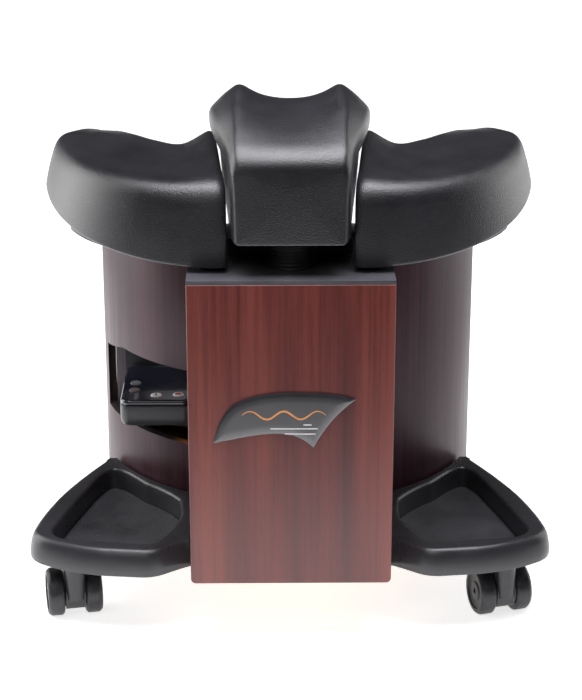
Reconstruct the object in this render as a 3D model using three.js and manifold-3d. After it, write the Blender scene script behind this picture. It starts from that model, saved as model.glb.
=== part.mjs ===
// Portable pedicure foot spa on casters: a cherry-veneered drum body with a flat front box,
// three moulded footrests on top, two tool trays at floor level, a hand control in a window
// in the left wall, and a basin that slides out of the open back.
// Millimetres, +Z up, the front panel faces -Y. Lengths along Y are counted back from the
// front panel's face, and the outer group centres the whole object over its origin.
import * as THREE from "three";
import { mergeVertices } from "three/addons/utils/BufferGeometryUtils.js";
import Module from "manifold-3d";

const wasm = await Module();
wasm.setup();

// ---- driving dimensions ---------------------------------------------------------------
const GAP = 0.35; // clearance between touching pieces
const FLOOR_Z = 67; // underside of the cabinet, above the casters
const PLY = 9; // bent and flat plywood sides
const PANEL_PLY = 12; // front panel
const BOX_HALF = 100; // half width of the front box
const PANEL_TOP = 380;
const DECK_Z = 384; // flat ledge of the deck
const DRUM_R = 207;
const DRUM_Y = 346; // the drum's axis, behind the panel's face
const DRUM_TOP = 350;
const BACK_Y = 486; // rear end of the straight legs
const RING_TOP = 388;
const RING_R = 180; // inner radius of the deck's ring
const BADGE_PROUD = 3;
const POST_Y = 57;
const POST_R = 25;
const CENTRE_BOTTOM = 417;
const WHEEL_R = 25;
const MID_Y = (BACK_Y - BADGE_PROUD) / 2;

// ---- materials ------------------------------------------------------------------------
const material = (color, roughness, metalness = 0) =>
  new THREE.MeshStandardMaterial({ color, roughness, metalness });
const cherry = material(0x6b2a1f, 0.4);
const cherryDrum = material(0x4e3138, 0.3);
const ply = material(0xb98a5a, 0.7);
const blackSkin = material(0x141416, 0.4);
const blackPlastic = material(0x1c1c1e, 0.5);
const charcoal = material(0x26272a, 0.45);
const rubber = material(0x3a3a3e, 0.85);
const navy = material(0x10121c, 0.15);
const greyPlastic = material(0x55575c, 0.45);
const whitePlastic = material(0xe8e8e6, 0.35);
const steel = material(0xa8aaad, 0.3, 1);

// ---- geometry helpers -----------------------------------------------------------------
const rad = THREE.MathUtils.degToRad;
const lerp = THREE.MathUtils.lerp;

// A closed geometry with only shared positions left.
function closed(geometry) {
  geometry.deleteAttribute("normal");
  geometry.deleteAttribute("uv");
  return mergeVertices(geometry, 1e-4);
}

function toSolid(geometry) {
  const g = closed(geometry);
  return new wasm.Manifold(new wasm.Mesh({
    numProp: 3,
    vertProperties: new Float32Array(g.attributes.position.array),
    triVerts: new Uint32Array(g.index.array),
  }));
}

function toGeometry(solid) {
  const mesh = solid.getMesh();
  const g = new THREE.BufferGeometry();
  g.setAttribute("position", new THREE.BufferAttribute(new Float32Array(mesh.vertProperties), 3));
  g.setIndex(new THREE.BufferAttribute(new Uint32Array(mesh.triVerts), 1));
  return g;
}

// An outline in plan, raised from z0 to z1.
function prism(shape, z0, z1, curveSegments = 12) {
  const g = new THREE.ExtrudeGeometry(shape, { depth: z1 - z0, bevelEnabled: false, curveSegments });
  return g.translate(0, 0, z0);
}

// A raised outline whose top and bottom edges are rounded by r.
function softPrism(shape, z0, z1, r, curveSegments = 4, bevelSegments = 1) {
  const g = new THREE.ExtrudeGeometry(shape, {
    depth: z1 - z0 - 2 * r,
    bevelThickness: r,
    bevelSize: r,
    bevelOffset: -r,
    bevelSegments,
    curveSegments,
  });
  return g.translate(0, 0, z0 + r);
}

function block(x0, x1, y0, y1, z0, z1) {
  const g = new THREE.BoxGeometry(x1 - x0, y1 - y0, z1 - z0);
  return g.translate((x0 + x1) / 2, (y0 + y1) / 2, (z0 + z1) / 2);
}

function cylinder(x, y, r, z0, z1, segments = 28) {
  const g = new THREE.CylinderGeometry(r, r, z1 - z0, segments);
  return g.rotateX(Math.PI / 2).translate(x, y, (z0 + z1) / 2);
}

function roundedRect(x0, x1, y0, y1, r) {
  const s = new THREE.Shape();
  s.moveTo(x0 + r, y0);
  s.lineTo(x1 - r, y0);
  s.absarc(x1 - r, y0 + r, r, -Math.PI / 2, 0);
  s.lineTo(x1, y1 - r);
  s.absarc(x1 - r, y1 - r, r, 0, Math.PI / 2);
  s.lineTo(x0 + r, y1);
  s.absarc(x0 + r, y1 - r, r, Math.PI / 2, Math.PI);
  s.lineTo(x0, y0 + r);
  s.absarc(x0 + r, y0 + r, r, Math.PI, 1.5 * Math.PI);
  return s;
}

// A skin over rings of equal point count, closed by a fan at each end.
function loft(rings) {
  const n = rings[0].length;
  const positions = rings.flat().flatMap((p) => [p.x, p.y, p.z]);
  const index = [];
  for (let i = 0; i + 1 < rings.length; i += 1) {
    for (let j = 0; j < n; j += 1) {
      const a = i * n + j;
      const b = i * n + ((j + 1) % n);
      index.push(a, b, b + n, a, b + n, a + n);
    }
  }
  [0, rings.length - 1].forEach((i) => {
    const centre = rings[i].reduce((sum, p) => sum.add(p), new THREE.Vector3()).divideScalar(n);
    const c = positions.length / 3;
    positions.push(centre.x, centre.y, centre.z);
    for (let j = 0; j < n; j += 1) {
      const a = i * n + j;
      const b = i * n + ((j + 1) % n);
      index.push(...(i === 0 ? [c, b, a] : [c, a, b]));
    }
  });
  const g = new THREE.BufferGeometry();
  g.setAttribute("position", new THREE.Float32BufferAttribute(positions, 3));
  g.setIndex(index);
  return faceOutwards(g);
}

// Turns every triangle over if the mesh's volume comes out negative.
function faceOutwards(g) {
  const p = g.attributes.position;
  const at = (i) => new THREE.Vector3().fromBufferAttribute(p, i);
  const tri = g.index.array;
  let volume = 0;
  for (let i = 0; i < tri.length; i += 3) {
    volume += at(tri[i]).dot(at(tri[i + 1]).cross(at(tri[i + 2])));
  }
  if (volume < 0) {
    for (let i = 0; i < tri.length; i += 3) {
      [tri[i + 1], tri[i + 2]] = [tri[i + 2], tri[i + 1]];
    }
  }
  return g;
}

// A smooth value through evenly spaced knots, for t from 0 to 1.
function through(knots, t) {
  const curve = new THREE.CatmullRomCurve3(knots.map((z, i) => new THREE.Vector3(i, 0, z)));
  return curve.getPoint(t).z;
}

const model = new THREE.Group();
model.position.y = -MID_Y;

function add(name, geometry, mat, parent = model) {
  const mesh = new THREE.Mesh(geometry, mat);
  mesh.name = name;
  parent.add(mesh);
  return mesh;
}

const mirrorX = (geometry) => faceOutwards(closed(geometry.clone()).scale(-1, 1, 1));

// ---- cabinet: front box ---------------------------------------------------------------
const drumFrontY = (x, r) => DRUM_Y - Math.sqrt(r * r - x * x);

function frontPanel() {
  const corner = 5;
  const s = new THREE.Shape();
  s.moveTo(-BOX_HALF + corner, FLOOR_Z);
  s.lineTo(BOX_HALF - corner, FLOOR_Z);
  s.absarc(BOX_HALF - corner, FLOOR_Z + corner, corner, -Math.PI / 2, 0);
  s.lineTo(BOX_HALF, PANEL_TOP);
  s.lineTo(-BOX_HALF, PANEL_TOP);
  s.lineTo(-BOX_HALF, FLOOR_Z + corner);
  s.absarc(-BOX_HALF + corner, FLOOR_Z + corner, corner, Math.PI, 1.5 * Math.PI);
  return prism(s, -PANEL_PLY, 0, 4).rotateX(Math.PI / 2);
}
add("front_panel", frontPanel(), cherry);

const returnEndY = drumFrontY(BOX_HALF, DRUM_R - PLY) - 0.5;
const leftReturn = block(-BOX_HALF, -BOX_HALF + PLY, PANEL_PLY + GAP, returnEndY, FLOOR_Z, PANEL_TOP);
add("left_return", leftReturn, cherry);
add("right_return", mirrorX(leftReturn), cherry);

function badgeOutline() {
  const s = new THREE.Shape();
  s.moveTo(-76, 219);
  s.bezierCurveTo(-72, 236, -66, 253, -52, 261);
  s.bezierCurveTo(-36, 270, -12, 272, 12, 271);
  s.bezierCurveTo(36, 271, 52, 268, 63, 264);
  s.quadraticCurveTo(38, 246, 22, 214);
  s.bezierCurveTo(10, 226, 0, 229, -17, 229);
  s.bezierCurveTo(-40, 228, -60, 222, -76, 219);
  return s;
}
const badge = prism(badgeOutline(), 0, BADGE_PROUD - GAP, 8).rotateX(Math.PI / 2).translate(0, -GAP, 0);
add("badge", badge, charcoal);

// ---- cabinet: drum walls --------------------------------------------------------------
// Plan of a U-shaped wall on the left side: from the box's return round to the back end.
function wallPlan(inner, outer) {
  const edge = BOX_HALF + GAP;
  const s = new THREE.Shape();
  const a = (r) => Math.PI + Math.acos(edge / r);
  s.moveTo(-outer, BACK_Y);
  s.lineTo(-outer, DRUM_Y);
  s.absarc(0, DRUM_Y, outer, Math.PI, a(outer));
  s.lineTo(-edge, drumFrontY(edge, inner));
  s.absarc(0, DRUM_Y, inner, a(inner), Math.PI, true);
  s.lineTo(-inner, BACK_Y);
  return s;
}
const WINDOW = { x: -200, z0: 149, z1: 232 };
const plainWall = prism(wallPlan(DRUM_R - PLY, DRUM_R), FLOOR_Z, DRUM_TOP, 18);
function windowTool() {
  const s = new THREE.Shape();
  s.moveTo(WINDOW.x, WINDOW.z0);
  s.lineTo(-BOX_HALF + 1, WINDOW.z0);
  s.lineTo(-BOX_HALF + 1, WINDOW.z1);
  s.lineTo(WINDOW.x + 20, WINDOW.z1);
  s.lineTo(WINDOW.x, WINDOW.z1 - 11);
  return prism(s, -(drumFrontY(WINDOW.x, DRUM_R) + 6), -140).rotateX(Math.PI / 2);
}
add("left_wall", toGeometry(toSolid(plainWall.clone()).subtract(toSolid(windowTool()))), cherryDrum);
add("right_wall", mirrorX(plainWall), cherryDrum);

// ---- cabinet: base, sill, internal shelf ------------------------------------------------
function insidePlan(clear) {
  const r = DRUM_R - PLY - clear;
  const half = BOX_HALF - PLY - clear;
  const y = drumFrontY(half, r);
  const a = Math.asin((y - DRUM_Y) / r);
  const s = new THREE.Shape();
  s.moveTo(-half, PANEL_PLY + clear);
  s.lineTo(half, PANEL_PLY + clear);
  s.lineTo(half, returnEndY + clear);
  s.lineTo(half + PLY, returnEndY + clear);
  s.absarc(0, DRUM_Y, r, Math.asin((drumFrontY(half + PLY, r) - DRUM_Y) / r), 0);
  s.lineTo(r, BACK_Y - PLY - clear);
  s.lineTo(-r, BACK_Y - PLY - clear);
  s.lineTo(-r, DRUM_Y);
  s.absarc(0, DRUM_Y, r, Math.PI, Math.PI - Math.asin((drumFrontY(half + PLY, r) - DRUM_Y) / r));
  s.lineTo(-half - PLY, returnEndY + clear);
  s.lineTo(-half, returnEndY + clear);
  return s;
}
const BASE_TOP = FLOOR_Z + 12;
add("base_board", prism(insidePlan(GAP), FLOOR_Z, BASE_TOP), ply);

const SILL_TOP = 106;
const sillHalf = DRUM_R - PLY - GAP;
const inlet = { x: 120, z: 88, w: 28, h: 24 };
const sill = toSolid(block(-sillHalf, sillHalf, BACK_Y - PLY, BACK_Y, FLOOR_Z, SILL_TOP));
const inletHole = toSolid(block(
  inlet.x - inlet.w / 2 - GAP, inlet.x + inlet.w / 2 + GAP,
  BACK_Y - PLY - 1, BACK_Y + 1,
  inlet.z - inlet.h / 2 - GAP, inlet.z + inlet.h / 2 + GAP,
));
add("rear_sill", toGeometry(sill.subtract(inletHole)), cherryDrum);

function powerInlet() {
  const wall = 2.5;
  const x0 = inlet.x - inlet.w / 2;
  const x1 = inlet.x + inlet.w / 2;
  const z0 = inlet.z - inlet.h / 2;
  const z1 = inlet.z + inlet.h / 2;
  const body = toSolid(block(x0, x1, BACK_Y - 30, BACK_Y - 1, Math.max(z0, BASE_TOP + GAP), z1));
  const socket = toSolid(block(x0 + wall, x1 - wall, BACK_Y - 18, BACK_Y + 1, z0 + 5, z1 - wall));
  return toGeometry(body.subtract(socket));
}
add("power_inlet", powerInlet(), blackPlastic);

const SHELF_Z = [100, 107];
add("air_pump", softPrism(roundedRect(-60, 60, 290, 390, 14), BASE_TOP + GAP, SHELF_Z[0], 2), blackPlastic);
add("control_box", softPrism(roundedRect(-70, 70, 26, 120, 8), BASE_TOP + GAP, 220, 2), greyPlastic);

// ---- basin ------------------------------------------------------------------------------
// Keyhole plan: a toe end that passes beside the hand control's pocket, and a wide heel end.
function tubPlan(grow) {
  const toe = 94 + grow;
  const heel = 174 + grow;
  const front = 186 - grow;
  const back = BACK_Y - 12 + grow;
  const r = 50;
  const s = new THREE.Shape();
  s.moveTo(-toe + r, front);
  s.lineTo(toe - r, front);
  s.absarc(toe - r, front + r, r, -Math.PI / 2, 0);
  s.lineTo(toe, 318);
  s.bezierCurveTo(toe, 350, heel, 340, heel, 378);
  s.lineTo(heel, back - r);
  s.absarc(heel - r, back - r, r, 0, Math.PI / 2);
  s.lineTo(-heel + r, back);
  s.absarc(-heel + r, back - r, r, Math.PI / 2, Math.PI);
  s.lineTo(-heel, 378);
  s.bezierCurveTo(-heel, 340, -toe, 350, -toe, 318);
  s.lineTo(-toe, front + r);
  s.absarc(-toe + r, front + r, r, Math.PI, 1.5 * Math.PI);
  return s;
}
const TUB = { z0: SHELF_Z[1] + GAP, z1: 278, wall: 4, rim: 7 };
const tubOuter = toSolid(prism(tubPlan(0), TUB.z0, TUB.z1, 5));
const tubRim = toSolid(prism(tubPlan(TUB.rim), TUB.z1 - 5, TUB.z1, 5));
const tubInner = toSolid(prism(tubPlan(-TUB.wall), TUB.z0 + TUB.wall, TUB.z1 + 1, 5));
add("tub", toGeometry(tubOuter.add(tubRim).subtract(tubInner)), whitePlastic);
const tubMat = prism(tubPlan(-TUB.wall - 8), TUB.z0 + TUB.wall + GAP, TUB.z0 + TUB.wall + 6, 4);
add("bubble_mat", tubMat, greyPlastic);

const shelfLegs = [-172, 162].map((x) => block(x, x + 10, 390, 430, BASE_TOP + GAP, SHELF_Z[0] + 2));
shelfLegs.push(block(-80, 80, 200, 210, BASE_TOP + GAP, SHELF_Z[0] + 2));
const shelf = shelfLegs.reduce(
  (sum, leg) => sum.add(toSolid(leg)),
  toSolid(prism(tubPlan(0), SHELF_Z[0] + GAP, SHELF_Z[1], 4)),
);
add("tub_shelf", toGeometry(shelf), greyPlastic);

// ---- deck -------------------------------------------------------------------------------
function deck() {
  const plan = new THREE.Shape();
  plan.moveTo(-DRUM_R, BACK_Y);
  plan.lineTo(-DRUM_R, DRUM_Y);
  plan.absarc(0, DRUM_Y, DRUM_R, Math.PI, 2 * Math.PI);
  plan.lineTo(DRUM_R, BACK_Y);
  plan.lineTo(RING_R, BACK_Y);
  plan.lineTo(RING_R, DRUM_Y);
  plan.absarc(0, DRUM_Y, RING_R, 0, Math.PI, true);
  plan.lineTo(-RING_R, BACK_Y);
  const inside = BOX_HALF - PLY - GAP;
  const ring = toSolid(prism(plan, DRUM_TOP + GAP, RING_TOP, 30));
  const ledge = toSolid(block(-BOX_HALF, BOX_HALF, 0.6, 200, PANEL_TOP + GAP, DECK_Z));
  const plinth = toSolid(block(-62, 62, 89, 178, DECK_Z - 1, 400));
  const slot = toSolid(block(-BOX_HALF - GAP, -inside, 100, returnEndY + GAP, DRUM_TOP, PANEL_TOP + GAP));
  const mirroredSlot = toSolid(block(inside, BOX_HALF + GAP, 100, returnEndY + GAP, DRUM_TOP, PANEL_TOP + GAP));
  const hole = toSolid(cylinder(0, POST_Y, POST_R + GAP, DECK_Z - 20, DECK_Z + 10));
  return toGeometry(ring.subtract(slot).subtract(mirroredSlot).add(ledge).add(plinth).subtract(hole));
}
add("deck", deck(), blackPlastic);

// ---- centre footrest on its lifting post --------------------------------------------------
const socketTop = DECK_Z - 4;
const socketBody = toSolid(cylinder(0, POST_Y, POST_R + 6, 300, socketTop))
  .add(toSolid(cylinder(0, POST_Y, POST_R + 16, socketTop - 6, socketTop)));
const socketBore = toSolid(cylinder(0, POST_Y, POST_R + GAP, 290, socketTop + 10));
add("post_socket", toGeometry(socketBody.subtract(socketBore)), steel);
const PAN_Z = [411, CENTRE_BOTTOM - GAP];
add("footrest_post", cylinder(0, POST_Y, POST_R, 250, PAN_Z[0] - GAP), blackPlastic);
add("centre_pan", softPrism(roundedRect(-40, 40, 28, 150, 14), PAN_Z[0], PAN_Z[1], 1.5), blackPlastic);

// A cross-section of the centre footrest, from the bottom's middle round its right side.
function centreRing(t) {
  const y = lerp(5, 170, t);
  const swell = Math.sin(Math.PI * Math.min(1, t * 1.12) / 2);
  const bottomHalf = lerp(56, 62, swell);
  const wide = through([58, 62, 74, 80, 76], t);
  const ear = through([496, 510, 522, 525, 516], t);
  const horn = through([505, 523, 539, 548, 531], t);
  const saddle = through([505, 518, 528, 532, 517], t);
  const right = [
    [bottomHalf - 6, CENTRE_BOTTOM],
    [bottomHalf, CENTRE_BOTTOM + 6],
    [lerp(bottomHalf, wide, 0.3), 455],
    [lerp(bottomHalf, wide, 0.45), ear - 31],
    [wide - 1, ear - 23],
    [wide, ear - 6],
    [wide - 5, ear + 2],
    [lerp(wide, 50, 0.45), lerp(ear, horn, 0.45)],
    [54, horn - 3],
    [47, horn],
    [27, lerp(horn, saddle, 0.7)],
  ];
  const left = right.map(([x, z]) => [-x, z]).reverse();
  return [[0, CENTRE_BOTTOM], ...right, [0, saddle], ...left].map(([x, z]) => new THREE.Vector3(x, y, z));
}
const centreRings = [0, 0.04, 0.2, 0.4, 0.6, 0.8, 0.92, 1].map(centreRing);
add("centre_footrest", loft(centreRings), blackSkin);

// ---- side footrests -----------------------------------------------------------------------
// The left footrest is swept from its inner end (s = 0) to its outer tip (s = 1). Its front
// edge follows one arc, its rear edge another, concentric with the drum.
const frontEdge = { x: -75, y: 198, r: 175, from: rad(-85.3), to: rad(-176.5) };
const rearEdge = { x: 0, y: DRUM_Y, r: 190, from: rad(-113.6), to: rad(-168) };
const onArc = (arc, s, inset = 0) => {
  const a = lerp(arc.from, arc.to, s);
  return new THREE.Vector3(arc.x + (arc.r - inset) * Math.cos(a), arc.y + (arc.r - inset) * Math.sin(a), 0);
};
const underside = (s) => lerp(388.7, 436, s ** 1.8);

// Heights of the top surface at a few places across it, each given from inner end to tip.
const TOP = [
  { across: 0.05, heights: [471, 470, 470, 472, 475, 478] },
  { across: 0.35, heights: [479, 470, 469, 472, 477, 477] },
  { across: 0.65, heights: [489, 472, 470, 473, 475, 469] },
  { across: 0.93, heights: [494, 474, 472, 471, 465, 453] },
];

function sideRing(s) {
  const low = onArc(frontEdge, s);
  const high = onArc(frontEdge, s, lerp(3, 20, s));
  const back = onArc(rearEdge, s);
  const z0 = underside(s);
  const top = TOP.map(({ across, heights }) => ({ across, z: through(heights, s) }));
  const at = (p, z) => new THREE.Vector3(p.x, p.y, z);
  return [
    at(low.clone().lerp(back, 0.5), z0),
    at(low.clone().lerp(back, 0.02), z0),
    at(low, z0 + 3),
    at(low.clone().lerp(high, 0.5), lerp(z0, top[0].z, 0.5)),
    at(high, top[0].z - 5),
    ...top.map(({ across, z }) => at(high.clone().lerp(back, across), z)),
    at(back, top.at(-1).z - 6),
    at(back, z0 + 3),
    at(low.clone().lerp(back, 0.97), z0),
  ];
}
const sideSteps = [0, 0.03, 0.12, 0.25, 0.38, 0.5, 0.62, 0.75, 0.87, 0.96, 1];
const leftFootrest = loft(sideSteps.map(sideRing));
add("left_footrest", leftFootrest, blackSkin);
add("right_footrest", mirrorX(leftFootrest), blackSkin);

// Under each side footrest: a low foot on the ledge, and a wedge-shaped pan on the deck's ring.
const restFoot = softPrism(roundedRect(-89, -64, 34, 96, 9), DECK_Z + GAP, underside(0) - GAP, 1);
add("left_rest_foot", restFoot, blackPlastic);
add("right_rest_foot", mirrorX(restFoot), blackPlastic);

function sidePan() {
  const wedgeRing = (s) => {
    const edge = onArc(frontEdge, s);
    const rear = onArc(rearEdge, s);
    const front = edge.clone().lerp(rear, 34 / edge.distanceTo(rear));
    const back = rear.clone().lerp(front, 0.06);
    const low = RING_TOP + GAP;
    const high = underside(s) - lerp(1, 4.5, s);
    const at = (p, z) => new THREE.Vector3(p.x, p.y, z);
    return [at(front, low), at(front, high), at(back, high), at(back, low)];
  };
  return loft([0.3, 0.42, 0.54, 0.67, 0.8].map(wedgeRing));
}
const leftPan = sidePan();
add("left_pan", leftPan, blackPlastic);
add("right_pan", mirrorX(leftPan), blackPlastic);

// ---- hand control in its window -------------------------------------------------------------
const HAND = { x0: -180, x1: -102, y0: 175, y1: 285, z0: 166, split: 190, z1: 196 };
const KEYS = [
  { name: "key_up", x: -166, y: 230 },
  { name: "key_down", x: -166, y: 208 },
  { name: "key_heat", x: -142, y: 192.5 },
  { name: "key_power", x: -118.5, y: 194 },
];
const KEY_R = 6;
const handOutline = (inset) => roundedRect(
  HAND.x0 + inset, HAND.x1 - inset, HAND.y0 + inset, HAND.y1 - inset, 11 - inset,
);
add("handset_shell", softPrism(handOutline(0), HAND.z0, HAND.split, 3), greyPlastic);

function handsetFascia() {
  const plate = toSolid(prism(handOutline(0.5), HAND.split + GAP, HAND.z1, 5));
  return KEYS.reduce(
    (solid, k) => solid.subtract(toSolid(cylinder(k.x, k.y, KEY_R + GAP, HAND.split, HAND.z1 + 1, 16))),
    plate,
  );
}
add("handset_fascia", toGeometry(handsetFascia()), navy);
KEYS.forEach((k) => add(k.name, cylinder(k.x, k.y, KEY_R, HAND.split + 1.3, HAND.z1 + 1, 16), whitePlastic));

function handsetCradle() {
  const shell = toSolid(block(HAND.x0 - 0.6, HAND.x1 + 5.4, 236, 291, HAND.z0 - 6, 226));
  const room = toSolid(block(HAND.x0 - 2, HAND.x1 + 1, 230, HAND.y1 + 1.5, HAND.z0 - GAP, 230));
  return toGeometry(shell.subtract(room));
}
add("handset_cradle", handsetCradle(), blackPlastic);
add("pocket_divider", block(-191.5, -178, 298, 326, 120, 240), cherryDrum);

// ---- tool trays -----------------------------------------------------------------------------
const TRAY = { z0: FLOOR_Z, z1: 95, floor: 69.5, mat: 72, clear: 0.5 };

function trayOutline() {
  const s = new THREE.Shape();
  const r = DRUM_R + TRAY.clear;
  const a = (x) => Math.PI + Math.acos(-x / r);
  s.moveTo(-BOX_HALF - TRAY.clear, 40);
  s.lineTo(-BOX_HALF - TRAY.clear, drumFrontY(BOX_HALF + TRAY.clear, r));
  s.absarc(0, DRUM_Y, r, a(-BOX_HALF - TRAY.clear), a(-192), true);
  s.quadraticCurveTo(-197.5, 276, -204, 266.5);
  s.quadraticCurveTo(-236, 203, -251, 156);
  s.quadraticCurveTo(-265, 108, -268, 76);
  s.quadraticCurveTo(-269, 56, -252, 44);
  s.quadraticCurveTo(-227, 26, -190, 18);
  s.lineTo(-150, 13.5);
  s.quadraticCurveTo(-136, 13, -126, 22);
  s.quadraticCurveTo(-106, 38, -BOX_HALF - TRAY.clear, 40);
  return s;
}

function recessOutline(inset) {
  const s = new THREE.Shape();
  s.moveTo(-192 - inset * 0.2, 44 + inset);
  s.lineTo(-146 - inset * 0.4, 36 + inset);
  s.quadraticCurveTo(-137 - inset, 38 + inset, -132 - inset, 52 + inset);
  s.quadraticCurveTo(-116 - inset, 84, -114 - inset, 112);
  s.lineTo(-117 - inset, 146);
  s.quadraticCurveTo(-132 - inset, 172, -154 - inset * 0.7, 190 - inset * 0.6);
  s.lineTo(-174, 218 - inset);
  s.quadraticCurveTo(-185, 231 - inset, -195, 231 - inset);
  s.quadraticCurveTo(-206 + inset, 223, -216 + inset, 182);
  s.quadraticCurveTo(-232 + inset, 124, -244 + inset, 74);
  s.quadraticCurveTo(-246 + inset, 58 + inset, -226 + inset * 0.4, 48 + inset);
  s.lineTo(-192 - inset * 0.2, 44 + inset);
  return s;
}
const trayBody = toSolid(softPrism(trayOutline(), TRAY.z0, TRAY.z1, 4, 6));
const leftTray = toGeometry(trayBody.subtract(toSolid(prism(recessOutline(0), TRAY.floor, TRAY.z1 + 1, 5))));
const leftMat = prism(recessOutline(1.2), TRAY.floor + GAP, TRAY.mat, 5);
add("left_tray", leftTray, charcoal);
add("right_tray", mirrorX(leftTray), charcoal);
add("left_mat", leftMat, rubber);
add("right_mat", mirrorX(leftMat), rubber);

// ---- casters ----------------------------------------------------------------------------------
// Twin-wheel casters. Each swivels about a fixed pin, and its axle trails behind the pin.
const CASTER = { trail: 16, hoodHalf: 10, wheelWidth: 17, pinR: 5, axleR: 2.5 };
const CASTERS = [
  { name: "front_left", x: -222, y: 58, yaw: 11 },
  { name: "front_right", x: 222, y: 58, yaw: 16 },
  { name: "rear_left", x: -150, y: 420, yaw: 24 },
  { name: "rear_right", x: 150, y: 420, yaw: -14 },
];
const ALONG_X = Math.PI / 2;

function casterMount() {
  const plate = toSolid(cylinder(0, 0, 19, FLOOR_Z - 3.4, FLOOR_Z - GAP, 20));
  return toGeometry(plate.add(toSolid(cylinder(0, 0, CASTER.pinR, 50, FLOOR_Z - 3, 16))));
}

function casterHood() {
  const half = CASTER.hoodHalf;
  const disc = new THREE.CylinderGeometry(22, 22, 2 * half, 24).rotateZ(ALONG_X);
  const web = toSolid(disc.translate(0, CASTER.trail, WHEEL_R + 1));
  const column = toSolid(cylinder(0, 0, half + 0.5, 24, FLOOR_Z - 4, 20));
  const bridge = toSolid(block(-half, half, 0, CASTER.trail, 24, 46));
  const under = toSolid(block(-40, 40, -40, 60, 0, 12));
  const bore = toSolid(cylinder(0, 0, CASTER.pinR + 0.5, 49, FLOOR_Z, 16));
  const hole = new THREE.CylinderGeometry(CASTER.axleR + 0.3, CASTER.axleR + 0.3, 60, 12).rotateZ(ALONG_X);
  const axleHole = toSolid(hole.translate(0, CASTER.trail, WHEEL_R));
  return toGeometry(web.add(column).add(bridge).subtract(under).subtract(bore).subtract(axleHole));
}

function casterWheel(side) {
  const w = CASTER.wheelWidth;
  const hole = CASTER.axleR + 0.3;
  const profile = [
    [hole, 0], [WHEEL_R - 2, 0], [WHEEL_R, 2],
    [WHEEL_R, w - 3], [WHEEL_R - 2.5, w], [hole, w - 1], [hole, 0],
  ].map(([r, h]) => new THREE.Vector2(r, h));
  const g = new THREE.LatheGeometry(profile, 28).rotateZ(-side * ALONG_X);
  return faceOutwards(closed(g.translate(side * (CASTER.hoodHalf + 1), CASTER.trail, WHEEL_R)));
}

CASTERS.forEach((c) => {
  const caster = new THREE.Group();
  caster.position.set(c.x, c.y, 0);
  caster.rotation.z = rad(c.yaw);
  model.add(caster);
  add(`caster_${c.name}_mount`, casterMount(), steel, caster);
  add(`caster_${c.name}_hood`, casterHood(), blackPlastic, caster);
  const reach = 2 * (CASTER.hoodHalf + CASTER.wheelWidth - 2);
  const axle = new THREE.CylinderGeometry(CASTER.axleR, CASTER.axleR, reach, 12).rotateZ(ALONG_X);
  add(`caster_${c.name}_axle`, axle.translate(0, CASTER.trail, WHEEL_R), steel, caster);
  add(`caster_${c.name}_wheel_l`, casterWheel(-1), blackPlastic, caster);
  add(`caster_${c.name}_wheel_r`, casterWheel(1), blackPlastic, caster);
});

export default model;
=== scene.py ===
# A portable pedicure foot spa: a cherry cabinet on casters, with three moulded footrests, two tool
# trays, a hand control in a window and a basin that slides out of the back.
import math

import bmesh
import bpy
from mathutils import Matrix, Vector


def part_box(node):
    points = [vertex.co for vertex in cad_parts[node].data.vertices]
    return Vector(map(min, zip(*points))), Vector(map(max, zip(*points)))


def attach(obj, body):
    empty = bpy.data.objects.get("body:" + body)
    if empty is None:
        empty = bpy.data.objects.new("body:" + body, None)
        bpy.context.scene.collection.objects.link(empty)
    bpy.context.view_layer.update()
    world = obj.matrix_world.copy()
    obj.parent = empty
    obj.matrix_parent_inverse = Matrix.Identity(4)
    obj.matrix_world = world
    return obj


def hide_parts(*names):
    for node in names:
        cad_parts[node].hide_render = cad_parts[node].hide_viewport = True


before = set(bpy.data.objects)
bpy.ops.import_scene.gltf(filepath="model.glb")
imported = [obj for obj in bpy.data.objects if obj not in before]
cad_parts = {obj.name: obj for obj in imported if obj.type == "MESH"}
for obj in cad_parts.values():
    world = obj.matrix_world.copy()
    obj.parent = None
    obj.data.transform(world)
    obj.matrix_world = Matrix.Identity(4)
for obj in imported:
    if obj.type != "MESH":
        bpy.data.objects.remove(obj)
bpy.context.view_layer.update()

bpy.ops.object.select_all(action="DESELECT")


# ---- Studio ------------------------------------------------------------------------------
# Soft light: a large panel overhead, one at each side and one in front, and a bright surround
# that dims towards the front, where a real studio is dark behind the camera.
PANEL_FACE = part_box("front_panel")[0][1]
CAMERA_BACK = 1.808
CAMERA_HEIGHT = 0.955
CAMERA_LEFT = 0.020
CAMERA_PITCH = math.radians(19.5)
CAMERA_LENS = 102.86

camera_data = bpy.data.cameras.new("camera")
camera_data.lens = CAMERA_LENS
camera = bpy.data.objects.new("camera", camera_data)
camera.location = (-CAMERA_LEFT, PANEL_FACE - CAMERA_BACK, CAMERA_HEIGHT)
camera_turn = math.atan2(CAMERA_LEFT, CAMERA_BACK)
camera.rotation_euler = (math.pi / 2 - CAMERA_PITCH, 0, -camera_turn)
bpy.context.scene.collection.objects.link(camera)
bpy.context.scene.camera = camera


def soft_panel(name, size, place, aim, watts, tint=(1, 1, 1)):
    light = bpy.data.lights.new(name, "AREA")
    light.color = tint
    light.shape = "RECTANGLE"
    light.size, light.size_y = size
    light.energy = watts
    panel = bpy.data.objects.new(name, light)
    panel.location = place
    panel.rotation_euler = (Vector(aim) - Vector(place)).to_track_quat("-Z", "Y").to_euler()
    bpy.context.scene.collection.objects.link(panel)


soft_panel("light_over", (1.7, 1.1), (0, -0.35, 1.9), (0, 0, 0.3), 62, (0.95, 0.95, 1.0))
soft_panel("light_left", (1.2, 1.4), (-1.5, 0.35, 0.75), (0, 0, 0.3), 20)
soft_panel("light_right", (1.2, 1.4), (1.5, 0.55, 0.75), (0, 0, 0.3), 9)
soft_panel("light_front", (1.6, 0.9), (-0.5, -2.2, 2.1), (0, 0, 0.2), 12)

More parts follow.
